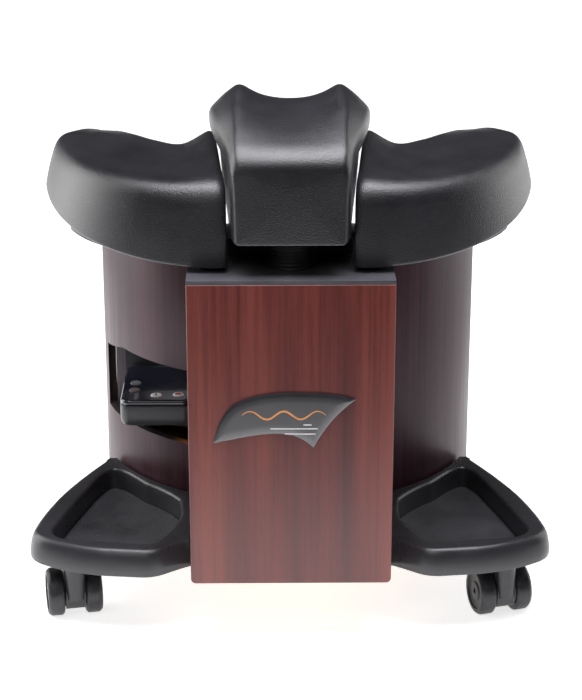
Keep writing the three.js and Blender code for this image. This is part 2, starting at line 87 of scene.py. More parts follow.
world = bpy.data.worlds.new("surround")
bpy.context.scene.world = world
world.use_nodes = True
nodes = world.node_tree.nodes
links = world.node_tree.links
coordinates = nodes.new("ShaderNodeTexCoord")
split = nodes.new("ShaderNodeSeparateXYZ")
fade = nodes.new("ShaderNodeMapRange")
for socket, value in (("From Min", -0.8), ("From Max", 0.15), ("To Min", 0.04), ("To Max", 1.15)):
    fade.inputs[socket].default_value = value
ray = nodes.new("ShaderNodeLightPath")
mirror_or_fill = nodes.new("ShaderNodeMix")
mirror_or_fill.inputs["A"].default_value = 0.30
seen_or_lit = nodes.new("ShaderNodeMix")
seen_or_lit.inputs["B"].default_value = 1.0
links.new(coordinates.outputs["Generated"], split.inputs["Vector"])
links.new(split.outputs["Y"], fade.inputs["Value"])
links.new(ray.outputs["Is Glossy Ray"], mirror_or_fill.inputs["Factor"])
links.new(fade.outputs["Result"], mirror_or_fill.inputs["B"])
links.new(ray.outputs["Is Camera Ray"], seen_or_lit.inputs["Factor"])
links.new(mirror_or_fill.outputs["Result"], seen_or_lit.inputs["A"])
links.new(seen_or_lit.outputs["Result"], nodes["Background"].inputs["Strength"])
bpy.context.scene.view_settings.view_transform = "Standard"

# The floor isn't even. Round and behind the object it is white and glows, as a lit paper sweep
# does, less so on the right. In front its colour falls to grey and it doesn't glow, which keeps
# the vertical faces dark and makes the backdrop nearly black in any view from behind.
FLOOR_HALF = 30.0
bpy.ops.mesh.primitive_plane_add(size=2 * FLOOR_HALF, location=(0, 0, 0))
floor = bpy.context.object
floor.name = "floor"
floor_paper = bpy.data.materials.new("floor_paper")
floor_paper.use_nodes = True
nodes = floor_paper.node_tree.nodes
links = floor_paper.node_tree.links
paper = nodes["Principled BSDF"]
paper.inputs["Roughness"].default_value = 0.8
paper.inputs["Specular IOR Level"].default_value = 0.15
paper.inputs["Emission Strength"].default_value = 1.0
where = nodes.new("ShaderNodeTexCoord")
split = nodes.new("ShaderNodeSeparateXYZ")
links.new(where.outputs["Object"], split.inputs["Vector"])
away = nodes.new("ShaderNodeVectorMath")
away.operation = "LENGTH"
links.new(where.outputs["Object"], away.inputs[0])


def floor_fade(value, start, end, low, high):
    fade = nodes.new("ShaderNodeMapRange")
    links.new(value, fade.inputs["Value"])
    for socket, number in (("From Min", start), ("From Max", end), ("To Min", low), ("To Max", high)):
        fade.inputs[socket].default_value = number
    return fade.outputs["Result"]


def floor_math(operation, a, b):
    node = nodes.new("ShaderNodeMath")
    node.operation = operation
    links.new(a, node.inputs[0])
    links.new(b, node.inputs[1])
    return node.outputs["Value"]


behind = floor_fade(split.outputs["Y"], -0.45, -0.05, 0.0, 1.0)
around = floor_fade(away.outputs["Value"], 0.5, 1.0, 1.0, 0.0)
right_side = floor_fade(split.outputs["X"], 0.20, 0.60, 0.0, 0.85)
not_far = floor_fade(split.outputs["Y"], 0.8, 1.4, 1.0, 0.0)
shaded = floor_math("MULTIPLY", right_side, not_far)
lit = floor_math("MAXIMUM", behind, around)
glow = floor_fade(floor_math("SUBTRACT", lit, shaded), 0.0, 1.0, 0.0, 0.75)
tone = floor_fade(split.outputs["Y"], -1.05, -0.65, 0.30, 0.93)
links.new(tone, paper.inputs["Base Color"])
far_glow = floor_fade(split.outputs["Y"], 1.0, 2.5, 0.0, 0.35)
links.new(floor_math("ADD", glow, far_glow), paper.inputs["Emission Color"])
floor.data.materials.append(floor_paper)


# ---- Front box ---------------------------------------------------------------------------
# A flat front board and two side boards of plywood, veneered in cherry with the grain upright
# and sprayed with satin lacquer. The deck's ledge lies on top of the front board.
def arc(x, y, r, start, end, count):
    angles = [math.radians(start + (end - start) * i / count) for i in range(count + 1)]
    return [(x + r * math.cos(a), y + r * math.sin(a)) for a in angles]


def edit_all(piece):
    bpy.ops.object.select_all(action="DESELECT")
    bpy.context.view_layer.objects.active = piece
    piece.select_set(True)
    bpy.ops.object.mode_set(mode="EDIT")
    bpy.ops.mesh.select_all(action="SELECT")


def new_piece(name, points, faces):
    mesh = bpy.data.meshes.new(name)
    mesh.from_pydata(points, [], faces)
    piece = bpy.data.objects.new(name, mesh)
    bpy.context.scene.collection.objects.link(piece)
    return piece


def board(name, outline, pull):
    """A filled outline of 3-D points, pulled along a vector into a closed board."""
    piece = new_piece(name, outline, [range(len(outline))])
    edit_all(piece)
    bpy.ops.mesh.extrude_region_move(TRANSFORM_OT_translate={"value": pull})
    bpy.ops.mesh.select_all(action="SELECT")
    bpy.ops.mesh.normals_make_consistent(inside=False)
    bpy.ops.object.mode_set(mode="OBJECT")
    return piece


def apply_modifier(piece, kind, **settings):
    modifier = piece.modifiers.new(kind.lower(), kind)
    for setting, value in settings.items():
        setattr(modifier, setting, value)
    bpy.ops.object.select_all(action="DESELECT")
    bpy.context.view_layer.objects.active = piece
    piece.select_set(True)
    bpy.ops.object.modifier_apply(modifier=modifier.name)


def ease_edges(piece, width, segments=3, angle=35):
    apply_modifier(
        piece, "BEVEL", width=width, segments=segments, limit_method="ANGLE",
        angle_limit=math.radians(angle), use_clamp_overlap=True, harden_normals=False,
    )


def shade_smooth(piece, angle=35):
    bpy.ops.object.select_all(action="DESELECT")
    bpy.context.view_layer.objects.active = piece
    piece.select_set(True)
    bpy.ops.object.shade_smooth_by_angle(angle=math.radians(angle))


def fit(piece, material, body, slot, *stands_for, angle=35):
    """Gives a finished piece its material and its body, and hides the CAD nodes that it stands for."""
    shade_smooth(piece, angle)
    piece.data.materials.append(material)
    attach(piece, body)
    if stands_for:
        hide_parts(*stands_for)
    return piece


def start_material(name, roughness, specular=0.5, metallic=0.0):
    material = bpy.data.materials.new(name)
    material.use_nodes = True
    tree = material.node_tree
    shader = tree.nodes["Principled BSDF"]
    shader.inputs["Roughness"].default_value = roughness
    shader.inputs["Specular IOR Level"].default_value = specular
    shader.inputs["Metallic"].default_value = metallic
    return material, tree, shader


def add_node(tree, kind, **values):
    node = tree.nodes.new(kind)
    for key, value in values.items():
        socket = key.replace("_", " ")
        if socket in node.inputs:
            node.inputs[socket].default_value = value
        else:
            setattr(node, key, value)
    return node


def ramp(tree, factor, *stops):
    node = tree.nodes.new("ShaderNodeValToRGB")
    elements = node.color_ramp.elements
    while len(elements) < len(stops):
        elements.new(0.5)
    for element, (position, color) in zip(elements, stops):
        element.position = position
        element.color = (*color, 1)
    tree.links.new(factor, node.inputs["Fac"])
    return node.outputs["Color"]


def object_pattern(tree, scale):
    """Object coordinates stretched by a scale for each axis."""
    place = tree.nodes.new("ShaderNodeTexCoord")
    mapping = add_node(tree, "ShaderNodeMapping", Scale=scale)
    tree.links.new(place.outputs["Object"], mapping.inputs["Vector"])
    return mapping.outputs["Vector"]


def noise(tree, vector, scale, detail=4.0, roughness=0.55):
    node = add_node(tree, "ShaderNodeTexNoise", Scale=scale, Detail=detail, Roughness=roughness)
    tree.links.new(vector, node.inputs["Vector"])
    return node.outputs["Fac"]


def mix_colors(tree, factor, a, b, blend="MIX"):
    node = add_node(tree, "ShaderNodeMix", data_type="RGBA", blend_type=blend)
    for socket, value in (("Factor", factor), ("A", a), ("B", b)):
        target = [s for s in node.inputs if s.name == socket and s.enabled][0]
        if isinstance(value, bpy.types.NodeSocket):
            tree.links.new(value, target)
        else:
            target.default_value = value if socket == "Factor" else (*value, 1)
    return [s for s in node.outputs if s.enabled][0]


def span(tree, value, low, high, new_low, new_high):
    node = add_node(
        tree, "ShaderNodeMapRange",
        From_Min=low, From_Max=high, To_Min=new_low, To_Max=new_high,
    )
    tree.links.new(value, node.inputs["Value"])
    return node.outputs["Result"]


def bump(tree, shader, height, strength, distance):
    node = add_node(tree, "ShaderNodeBump", Strength=strength, Distance=distance)
    tree.links.new(height, node.inputs["Height"])
    tree.links.new(node.outputs["Normal"], shader.inputs["Normal"])
    tree.links.new(node.outputs["Normal"], shader.inputs["Coat Normal"])


# Upright wood grain as a group: broad figure, fine streaks and dark pores, one colour mask each.
def build_grain_group():
    group = bpy.data.node_groups.new("upright_grain", "ShaderNodeTree")
    group.interface.new_socket("Vector", in_out="INPUT", socket_type="NodeSocketVector")
    for socket in ("Figure", "Streaks", "Pores"):
        group.interface.new_socket(socket, in_out="OUTPUT", socket_type="NodeSocketFloat")
    source = group.nodes.new("NodeGroupInput")
    target = group.nodes.new("NodeGroupOutput")
    layers = (
        ("Figure", (26, 26, 1.6), 1.0, 3.0, 0.5),
        ("Streaks", (190, 190, 3.2), 1.0, 6.0, 0.62),
        ("Pores", (1500, 1500, 60), 1.0, 2.0, 0.5),
    )
    for name, scale, size, detail, roughness in layers:
        mapping = add_node(group, "ShaderNodeMapping", Scale=scale)
        group.links.new(source.outputs["Vector"], mapping.inputs["Vector"])
        value = noise(group, mapping.outputs["Vector"], size, detail, roughness)
        group.links.new(value, target.inputs[name])
    return group


grain_group = build_grain_group()


def veneer(name, dark, middle, light, roughness, coat):
    material, tree, shader = start_material(name, roughness)
    grain = tree.nodes.new("ShaderNodeGroup")
    grain.node_tree = grain_group
    tree.links.new(object_pattern(tree, (1, 1, 1)), grain.inputs["Vector"])
    figure = ramp(tree, grain.outputs["Figure"], (0.32, dark), (0.5, middle), (0.7, light))
    streaks = ramp(tree, grain.outputs["Streaks"], (0.3, (0.55, 0.5, 0.5)), (0.55, (1, 1, 1)))
    color = mix_colors(tree, 0.75, figure, streaks, "MULTIPLY")
    pores = ramp(tree, grain.outputs["Pores"], (0.3, (0.45, 0.4, 0.4)), (0.42, (1, 1, 1)))
    tree.links.new(mix_colors(tree, 0.5, color, pores, "MULTIPLY"), shader.inputs["Base Color"])
    tree.links.new(
        span(tree, grain.outputs["Streaks"], 0.3, 0.7, roughness - 0.05, roughness + 0.06),
        shader.inputs["Roughness"],
    )
    shader.inputs["Coat Weight"].default_value = coat
    shader.inputs["Coat Roughness"].default_value = 0.28
    bump(tree, shader, grain.outputs["Streaks"], 0.08, 0.0004)
    return material


cherry = veneer("cherry_veneer", (0.075, 0.011, 0.009), (0.125, 0.021, 0.016), (0.19, 0.040, 0.027),
                0.42, 0.25)

low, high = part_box("front_panel")
PANEL_HALF = high[0]
FOOT_ROUND = 0.005
panel_outline = arc(PANEL_HALF - FOOT_ROUND, low[2] + FOOT_ROUND, FOOT_ROUND, -90, 0, 8)
panel_outline += [(PANEL_HALF, high[2])]
panel_outline += [(-x, z) for x, z in reversed(panel_outline)]
front_panel = board("front_panel_board", [(x, high[1], z) for x, z in panel_outline],
                    (0, low[1] - high[1], 0))
ease_edges(front_panel, 0.0011)
fit(front_panel, cherry, "cabinet", "cherry", "front_panel")

for side, node in ((-1, "left_return"), (1, "right_return")):
    low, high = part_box(node)
    inner, outer = sorted((low[0], high[0]), key=abs)
    corners = [(inner, low[1]), (outer, low[1]), (outer, high[1]), (inner, high[1])]
    side_board = board(node + "_board", [(x, y, low[2]) for x, y in corners], (0, 0, high[2] - low[2]))
    ease_edges(side_board, 0.0008, 2)
    fit(side_board, cherry, "cabinet", "cherry", node)


# ---- Drum walls --------------------------------------------------------------------------
# Two bent plywood walls, 9 mm thick, laminated in a darker cherry with a soft gloss. They curve
# from the front box round to the open back. The left one is sawn through for the hand control,
# and its raw ply shows on the sawn edges.
drum = veneer("drum_laminate", (0.040, 0.016, 0.021), (0.054, 0.023, 0.030), (0.072, 0.032, 0.041),
              0.40, 0.0)
drum.node_tree.nodes["Principled BSDF"].inputs["Specular IOR Level"].default_value = 0.20


def ply_edge():
    """Sawn ply that was stained dark, with the stain missed on a short stretch near the box."""
    material, tree, shader = start_material("ply_edge", 0.7, 0.3)
    plies = object_pattern(tree, (1, 1, 1))
    layers = add_node(tree, "ShaderNodeTexWave", wave_type="RINGS", rings_direction="Z",
                      Scale=105.0, Distortion=0.4)
    tree.links.new(plies, layers.inputs["Vector"])
    streak = noise(tree, plies, 240, 3)
    tint = mix_colors(tree, layers.outputs["Fac"], (0.30, 0.10, 0.035), (0.50, 0.20, 0.07))
    shade = ramp(tree, streak, (0.35, (0.7, 0.66, 0.6)), (0.65, (1, 1, 1)))
    raw = mix_colors(tree, 0.6, tint, shade, "MULTIPLY")
    place = add_node(tree, "ShaderNodeSeparateXYZ")
    tree.links.new(plies, place.inputs["Vector"])
    wobble = add_node(tree, "ShaderNodeMath", operation="MULTIPLY_ADD")
    wobble.inputs[1].default_value = 0.02
    tree.links.new(streak, wobble.inputs[0])
    tree.links.new(place.outputs["X"], wobble.inputs[2])
    bare = span(tree, wobble.outputs["Value"], -0.115, -0.100, 0.0, 1.0)
    tree.links.new(mix_colors(tree, bare, (0.016, 0.008, 0.007), raw), shader.inputs["Base Color"])
    bump(tree, shader, streak, 0.3, 0.0004)
    return material


raw_ply = ply_edge()

WALL_LOW, WALL_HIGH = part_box("left_wall")
DRUM_R = -WALL_LOW[0]
WALL = 0.009
BACK = WALL_HIGH[1]
DRUM_Y = PANEL_FACE + 0.346
WINDOW_LOW_Z = 0.149
WINDOW_TOP_Z = 0.232
WINDOW_X = -0.200


def drum_angle(x, r):
    return 180 + math.degrees(math.acos(abs(x) / r))


def wall_outline(edge):
    outer_end = drum_angle(edge, DRUM_R)
    inner_end = drum_angle(edge, DRUM_R - WALL)
    outline = [(-DRUM_R, BACK)]
    outline += arc(0, DRUM_Y, DRUM_R, 180, outer_end, 64)
    outline += arc(0, DRUM_Y, DRUM_R - WALL, inner_end, 180, 64)
    return outline + [(-DRUM_R + WALL, BACK)]


def drum_wall(name, side):
    outline = [(-side * x, y, WALL_LOW[2]) for x, y in wall_outline(abs(WALL_HIGH[0]))]
    return board(name, outline, (0, 0, WALL_HIGH[2] - WALL_LOW[2]))


left_wall = drum_wall("left_wall_shell", -1)
window = [(WINDOW_X, WINDOW_LOW_Z), (-0.099, WINDOW_LOW_Z), (-0.099, WINDOW_TOP_Z),
          (WINDOW_X + 0.020, WINDOW_TOP_Z), (WINDOW_X, WINDOW_TOP_Z - 0.011)]
window_saw = board("window_saw", [(x, PANEL_FACE + 0.14, z) for x, z in window], (0, 0.159, 0))
apply_modifier(left_wall, "BOOLEAN", operation="DIFFERENCE", object=window_saw, solver="EXACT")
bpy.data.objects.remove(window_saw)
ease_edges(left_wall, 0.0006, 2, 50)
fit(left_wall, drum, "cabinet", "cherry_drum", "left_wall")
left_wall.data.materials.append(raw_ply)
for face in left_wall.data.polygons:
    x, y, z = face.center
    in_window = x < -0.1005 and WINDOW_LOW_Z - 0.003 < z < WINDOW_TOP_Z + 0.003 and y < DRUM_Y
    if in_window and (abs(face.normal.z) > 0.6
                      or abs(face.normal.dot(Vector((x, y - DRUM_Y, 0)).normalized())) < 0.6):
        face.material_index = 1

right_wall = drum_wall("right_wall_shell", 1)
ease_edges(right_wall, 0.0006, 2, 50)
fit(right_wall, drum, "cabinet", "cherry_drum", "right_wall")


# ---- Deck --------------------------------------------------------------------------------
# One black moulding with a fine spark-eroded grain: a ledge over the front box, a low
# plinth behind it and a ring that caps the drum. Its colour is three times as light as the other
# black plastic's: painted light, so that the ledge looks lit.
def build_texture_group():
    """A moulding's grain, as a height: shallow pebbles with a finer sand over them."""
    group = bpy.data.node_groups.new("moulded_grain", "ShaderNodeTree")
    group.interface.new_socket("Vector", in_out="INPUT", socket_type="NodeSocketVector")
    group.interface.new_socket("Size", in_out="INPUT", socket_type="NodeSocketFloat")
    group.interface.new_socket("Height", in_out="OUTPUT", socket_type="NodeSocketFloat")
    group.interface.new_socket("Smudge", in_out="OUTPUT", socket_type="NodeSocketFloat")
    source = group.nodes.new("NodeGroupInput")
    target = group.nodes.new("NodeGroupOutput")
    pebble = add_node(group, "ShaderNodeTexVoronoi", feature="SMOOTH_F1", Smoothness=0.6)
    sand = add_node(group, "ShaderNodeTexNoise", Detail=3.0)
    finer = add_node(group, "ShaderNodeMath", operation="MULTIPLY")
    finer.inputs[1].default_value = 2.3
    group.links.new(source.outputs["Size"], finer.inputs[0])
    group.links.new(source.outputs["Size"], pebble.inputs["Scale"])
    group.links.new(finer.outputs["Value"], sand.inputs["Scale"])
    both = add_node(group, "ShaderNodeMath", operation="MULTIPLY_ADD")
    both.inputs[1].default_value = 0.5
    group.links.new(sand.outputs["Fac"], both.inputs[0])
    group.links.new(pebble.outputs["Distance"], both.inputs[2])
    smudge = add_node(group, "ShaderNodeTexNoise", Scale=14.0, Detail=5.0, Roughness=0.6)
    for node in (pebble, sand, smudge):
        group.links.new(source.outputs["Vector"], node.inputs["Vector"])
    group.links.new(both.outputs["Value"], target.inputs["Height"])
    group.links.new(smudge.outputs["Fac"], target.inputs["Smudge"])
    return group


texture_group = build_texture_group()


def moulding(name, color, roughness, grain_size, depth, strength=0.5, spread=0.08, specular=0.5,
             contrast=0.25):
    """A moulded plastic or skinned foam: even colour, faint smudges and a bumped grain."""
    material, tree, shader = start_material(name, roughness, specular)
    grain = tree.nodes.new("ShaderNodeGroup")
    grain.node_tree = texture_group
    grain.inputs["Size"].default_value = grain_size
    tree.links.new(object_pattern(tree, (1, 1, 1)), grain.inputs["Vector"])
    darker = tuple(c * (1 - contrast) for c in color)
    lighter = tuple(c * (1 + contrast) for c in color)
    tree.links.new(
        ramp(tree, grain.outputs["Smudge"], (0.35, darker), (0.65, lighter)),
        shader.inputs["Base Color"],
    )
    tree.links.new(
        span(tree, grain.outputs["Smudge"], 0.3, 0.7, roughness - spread, roughness + spread),
        shader.inputs["Roughness"],
    )
    bump(tree, shader, grain.outputs["Height"], strength, depth)
    return material


black_moulding = moulding("black_moulding", (0.020, 0.020, 0.023), 0.42, 1100, 0.00025)
# Painted light: the deck's black plastic is given a lighter grey than the other black mouldings, so the
# ledge looks lit.
deck_moulding_painted_light = moulding("deck_moulding_painted_light", (0.060, 0.058, 0.067), 0.40, 1100, 0.00025)

RETURN_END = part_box("left_return")[1][1] + 0.00035
DECK_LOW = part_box("deck")[0]
LEDGE_Z = 0.384
RING_TOP = 0.388
RING_INNER = 0.180
deck_outline = ([(-DRUM_R, BACK)] + arc(0, DRUM_Y, DRUM_R, 180, 360, 120)
                + [(DRUM_R, BACK), (RING_INNER, BACK)])
deck_outline += arc(0, DRUM_Y, RING_INNER, 360, 180, 120) + [(-RING_INNER, BACK)]
deck = board("deck_moulding_painted_light", [(x, y, DECK_LOW[2]) for x, y in deck_outline], (0, 0, RING_TOP - DECK_LOW[2]))


def join_solid(piece, other, operation="UNION"):
    apply_modifier(piece, "BOOLEAN", operation=operation, object=other, solver="EXACT")
    bpy.data.objects.remove(other)


def slab(name, x0, x1, y0, y1, z0, z1):
    return board(name, [(x0, y0, z0), (x1, y0, z0), (x1, y1, z0), (x0, y1, z0)], (0, 0, z1 - z0))


LEDGE_UNDER = LEDGE_Z - 0.00365
SLOT_INNER = PANEL_HALF - WALL - 0.00035
ledge = slab("ledge", -PANEL_HALF, PANEL_HALF, PANEL_FACE + 0.0006, PANEL_FACE + 0.2, LEDGE_UNDER, LEDGE_Z)
plinth = slab("plinth", -0.062, 0.062, PANEL_FACE + 0.089, PANEL_FACE + 0.178, LEDGE_Z - 0.001, 0.400)
for x in (-1, 1):
    inner, outer = sorted((x * SLOT_INNER, x * (PANEL_HALF + 0.00035)))
    slot = slab("slot", inner, outer, PANEL_FACE + 0.1, RETURN_END, 0.33, LEDGE_UNDER)
    join_solid(deck, slot, "DIFFERENCE")
for part in (ledge, plinth):
    join_solid(deck, part)
bpy.ops.mesh.primitive_cylinder_add(vertices=96, radius=0.02535, depth=0.06,
                                    location=(0, PANEL_FACE + 0.057, LEDGE_Z))
join_solid(deck, bpy.context.object, "DIFFERENCE")
ease_edges(deck, 0.0014, 3, 50)
fit(deck, deck_moulding_painted_light, "cabinet", "black_plastic", "deck")


# ---- Footrests ---------------------------------------------------------------------------
# Moulded self-skinning foam over a hard pan, black, with a pebbled skin that shines softly where
# it turns. The side ones sweep round the drum, the middle one is a saddle for the heel.
black_skin = moulding("black_skin", (0.010, 0.0095, 0.012), 0.34, 900, 0.00045, 0.6, 0.05, 0.5, 0.3)
skin_shader = black_skin.node_tree.nodes["Principled BSDF"]
skin_shader.inputs["Coat Weight"].default_value = 0.35
skin_shader.inputs["Coat Roughness"].default_value = 0.24


def rounded_ring(corners, steps=6):
    """A closed outline of (a, b, radius) corners, each turned by a smooth curve."""
    ring = []
    for i, (a, b, r) in enumerate(corners):
        here = Vector((a, b))
        before = Vector(corners[i - 1][:2])
        after = Vector(corners[(i + 1) % len(corners)][:2])
        back, ahead = before - here, after - here
        start = here + back.normalized() * min(r, 0.48 * back.length)
        end = here + ahead.normalized() * min(r, 0.48 * ahead.length)
        for k in range(steps + 1):
            t = k / steps
            ring.append(start * (1 - t) ** 2 + here * 2 * t * (1 - t) + end * t * t)
    return ring


def shrink(ring, amount, sides=0.5):
    """The outline with its top drawn down by an amount and its sides by a share of it."""
    left, right = min(p.x for p in ring), max(p.x for p in ring)
    bottom, top = min(p.y for p in ring), max(p.y for p in ring)
    middle = (left + right) / 2
    across = 1 - 2 * amount * sides / (right - left)
    up = 1 - amount / (top - bottom)
    return [Vector((middle + (p.x - middle) * across, bottom + (p.y - bottom) * up)) for p in ring]


def skin(name, rings):
    """A closed surface over rings of 3-D points, with a fan of faces at each end."""
    count = len(rings[0])
    points = [p for ring in rings for p in ring]
    faces = []
    for i in range(len(rings) - 1):
        for j in range(count):
            k = (j + 1) % count
            faces.append((i * count + j, i * count + k, (i + 1) * count + k, (i + 1) * count + j))
    for ring_index in (0, len(rings) - 1):
        middle = sum((Vector(p) for p in rings[ring_index]), Vector()) / count
        points.append(middle)
        hub = len(points) - 1
        first = ring_index * count
        faces += [(hub, first + (j + 1) % count, first + j) for j in range(count)]
    piece = new_piece(name, [tuple(p) for p in points], faces)
    edit_all(piece)
    bpy.ops.mesh.remove_doubles(threshold=0.00001)
    bpy.ops.mesh.normals_make_consistent(inside=False)
    bpy.ops.object.mode_set(mode="OBJECT")
    return piece


def mirrored(piece, name):
    copy = piece.copy()
    copy.data = piece.data.copy()
    copy.name = name
    bpy.context.scene.collection.objects.link(copy)
    for vertex in copy.data.vertices:
        vertex.co.x = -vertex.co.x
    edit_all(copy)
    bpy.ops.mesh.flip_normals()
    bpy.ops.object.mode_set(mode="OBJECT")
    return copy


def smooth_knots(knots, t):
    """A smooth value through evenly spaced knots, for t from 0 to 1."""
    spot = min(max(t, 0), 1) * (len(knots) - 1)
    i = min(int(spot), len(knots) - 2)
    u = spot - i
    a, b = knots[max(i - 1, 0)], knots[i]
    c, d = knots[i + 1], knots[min(i + 2, len(knots) - 1)]
    return 0.5 * (2 * b + (c - a) * u + (2 * a - 5 * b + 4 * c - d) * u ** 2
                  + (3 * b - a - 3 * c + d) * u ** 3)


def mix(a, b, t):
    return a + (b - a) * t


def end_steps(near, near_radius, far, far_radius, turns=6):
    """Places along a sweep from 0 to 1, each with how far its ring shrinks to round the two ends."""
    quarter = [math.pi / 2 * k / turns for k in range(turns + 1)]
    start = [(near * (1 - math.cos(a)), near_radius * (1 - math.sin(a))) for a in quarter]
    finish = [(1 - far * (1 - math.cos(a)), far_radius * (1 - math.sin(a))) for a in reversed(quarter)]
    return start + [(mix(near, 1 - far, k / 26), 0) for k in range(1, 26)] + finish


def crowned(rings, near_crown, far_crown):
    """Adds smaller rings over both ends, each end swelling outwards by its crown."""
    def cap(ring, beyond, crown):
        middle = sum(ring, Vector()) / len(ring)
        out = (middle - sum(beyond, Vector()) / len(beyond)).normalized()
        sizes = (0.03, 0.1, 0.25, 0.45, 0.65, 0.82, 0.93)
        return [[middle.lerp(p, t) + out * crown * (1 - t * t) for p in ring] for t in sizes]
    return cap(rings[0], rings[8], near_crown) + rings + cap(rings[-1], rings[-8], far_crown)[::-1]


# The side footrests. The front edge lies on one arc and the rear edge on another.
FRONT_EDGE = (-0.075, PANEL_FACE + 0.198, 0.175, -85.3, -176.5)
REAR_EDGE = (0.0, DRUM_Y, 0.190, -113.6, -168.0)
TOP_LINES = (
    (0.00, (0.473, 0.4725, 0.4725, 0.4745, 0.4775, 0.480)),
    (0.35, (0.478, 0.4685, 0.4675, 0.4715, 0.477, 0.477)),
    (0.50, (0.4835, 0.470, 0.4685, 0.472, 0.4765, 0.4745)),
    (0.65, (0.489, 0.472, 0.4705, 0.4735, 0.4755, 0.4695)),
    (0.80, (0.4935, 0.474, 0.472, 0.4735, 0.472, 0.4625)),
)
REAR_TOP = (0.495, 0.475, 0.473, 0.472, 0.466, 0.454)


def on_edge(edge, s):
    x, y, r, start, end = edge
    a = math.radians(mix(start, end, s))
    return Vector((x + r * math.cos(a), y + r * math.sin(a), 0))


def underside(s):
    return mix(0.3887, 0.436, s ** 1.8)


def side_section(s, amount):
    low = on_edge(FRONT_EDGE, s)
    back = on_edge(REAR_EDGE, s)
    across = (back - low).normalized()
    length = (back - low).length
    lean = mix(0.003, 0.026, s)
    under = underside(s)
    front_top = smooth_knots(TOP_LINES[0][1], s)
    corners = [
        (0.0, under, 0.003),
        (lean * 0.35 - 0.001, mix(under, front_top, 0.42), 0.03),
        (lean, front_top, 0.032),
    ]
    for place, heights in TOP_LINES[1:]:
        corners.append((lean + place * (length - lean), smooth_knots(heights, s), 0.02))
    corners.append((length, smooth_knots(REAR_TOP, s), 0.014))
    corners.append((length, under, 0.003))
    ring = shrink(rounded_ring(corners), amount)
    return [low + across * p.x + Vector((0, 0, p.y)) for p in ring]


side_rings = [side_section(s, amount) for s, amount in end_steps(0.05, 0.008, 0.06, 0.012)]
left_rest = skin("left_footrest_foam", crowned(side_rings, 0.0, 0.002))
apply_modifier(left_rest, "SUBSURF", levels=1, render_levels=1)
right_rest = mirrored(left_rest, "right_footrest_foam")
for rest, node in ((left_rest, "left_footrest"), (right_rest, "right_footrest")):
    fit(rest, black_skin, "cabinet", "black_skin", node, angle=60)


# The centre footrest, swept from its front face to its rear.
CENTRE_FRONT = PANEL_FACE + 0.005
CENTRE_DEPTH = 0.165
CENTRE_BOTTOM = 0.417


def centre_section(t, amount):
    y = CENTRE_FRONT + CENTRE_DEPTH * t
    foot = mix(0.056, 0.062, math.sin(math.pi * min(1, t * 1.12) / 2))
    wide = smooth_knots((0.058, 0.062, 0.074, 0.080, 0.076), t)
    ear = smooth_knots((0.496, 0.510, 0.522, 0.525, 0.516), t)
    horn = smooth_knots((0.505, 0.523, 0.539, 0.548, 0.531), t)
    saddle = smooth_knots((0.505, 0.518, 0.528, 0.532, 0.517), t)
    ridge = smooth_knots((0.052, 0.0525, 0.052, 0.050, 0.049), t)
    right = [
        (foot, CENTRE_BOTTOM, 0.004),
        (mix(foot, wide, 0.30), 0.455, 0.02),
        (mix(foot, wide, 0.45), ear - 0.031, 0.010),
        (wide - 0.001, ear - 0.023, 0.007),
        (wide, ear - 0.004, 0.006),
        (mix(wide, ridge, 0.5), mix(ear, horn, 0.5), 0.006),
        (ridge, horn, 0.007),
        (0.030, mix(horn, saddle, 0.74), 0.02),
        (0.010, mix(horn, saddle, 0.98), 0.008),
    ]
    left = [(-x, z, r) for x, z, r in reversed(right)]
    ring = shrink(rounded_ring(right + left, 5), amount, 0.35)
    return [Vector((p.x, y, p.y)) for p in ring]


centre_rings = [centre_section(t, amount) for t, amount in end_steps(0.13, 0.015, 0.09, 0.012)]
centre_rest = skin("centre_footrest_foam", crowned(centre_rings, 0.0015, 0.002))
apply_modifier(centre_rest, "SUBSURF", levels=1, render_levels=1)
fit(centre_rest, black_skin, "centre_rest", "black_skin", "centre_footrest", angle=60)


# Under the footrests: wedge-shaped pans on the ring, low feet on the ledge, and the centre
# footrest's pan on a ribbed tube that lifts out of a plated socket.
def rounded_rect(x0, x1, y0, y1, r, count=8):
    corners = ((x1 - r, y0 + r, -90), (x1 - r, y1 - r, 0), (x0 + r, y1 - r, 90), (x0 + r, y0 + r, 180))
    return [point for x, y, start in corners for point in arc(x, y, r, start, start + 90, count)]


def node_block(name, node, corner, bevel, material, body, slot):
    """A block with rounded corners in plan and eased edges, filling a node's box."""
    low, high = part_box(node)
    plan = rounded_rect(low[0], high[0], low[1], high[1], corner)
    piece = board(name, [(x, y, low[2]) for x, y in plan], (0, 0, high[2] - low[2]))
    ease_edges(piece, bevel, 3, 50)
    return fit(piece, material, body, slot, node)


def turned(name, x, y, profile, steps=96):
    """A profile of (radius, z) points spun about an upright axis."""
    points = [(x + r, y, z) for r, z in profile]
    mesh = bpy.data.meshes.new(name)
    mesh.from_pydata(points, [(i, i + 1) for i in range(len(points) - 1)], [])
    piece = bpy.data.objects.new(name, mesh)
    bpy.context.scene.collection.objects.link(piece)
    edit_all(piece)
    bpy.ops.mesh.spin(steps=steps, angle=2 * math.pi, center=(x, y, 0), axis=(0, 0, 1))
    bpy.ops.mesh.select_all(action="SELECT")
    bpy.ops.mesh.remove_doubles(threshold=0.00002)
    bpy.ops.mesh.normals_make_consistent(inside=False)
    bpy.ops.object.mode_set(mode="OBJECT")
    return piece


def pan_section(s):
    edge, rear = on_edge(FRONT_EDGE, s), on_edge(REAR_EDGE, s)
    front = edge.lerp(rear, 0.034 / (rear - edge).length)
    back = rear.lerp(front, 0.06)
    low, high = 0.38835, underside(s) - mix(0.001, 0.0045, s)
    return [Vector((p.x, p.y, z)) for p, z in ((front, low), (front, high), (back, high), (back, low))]


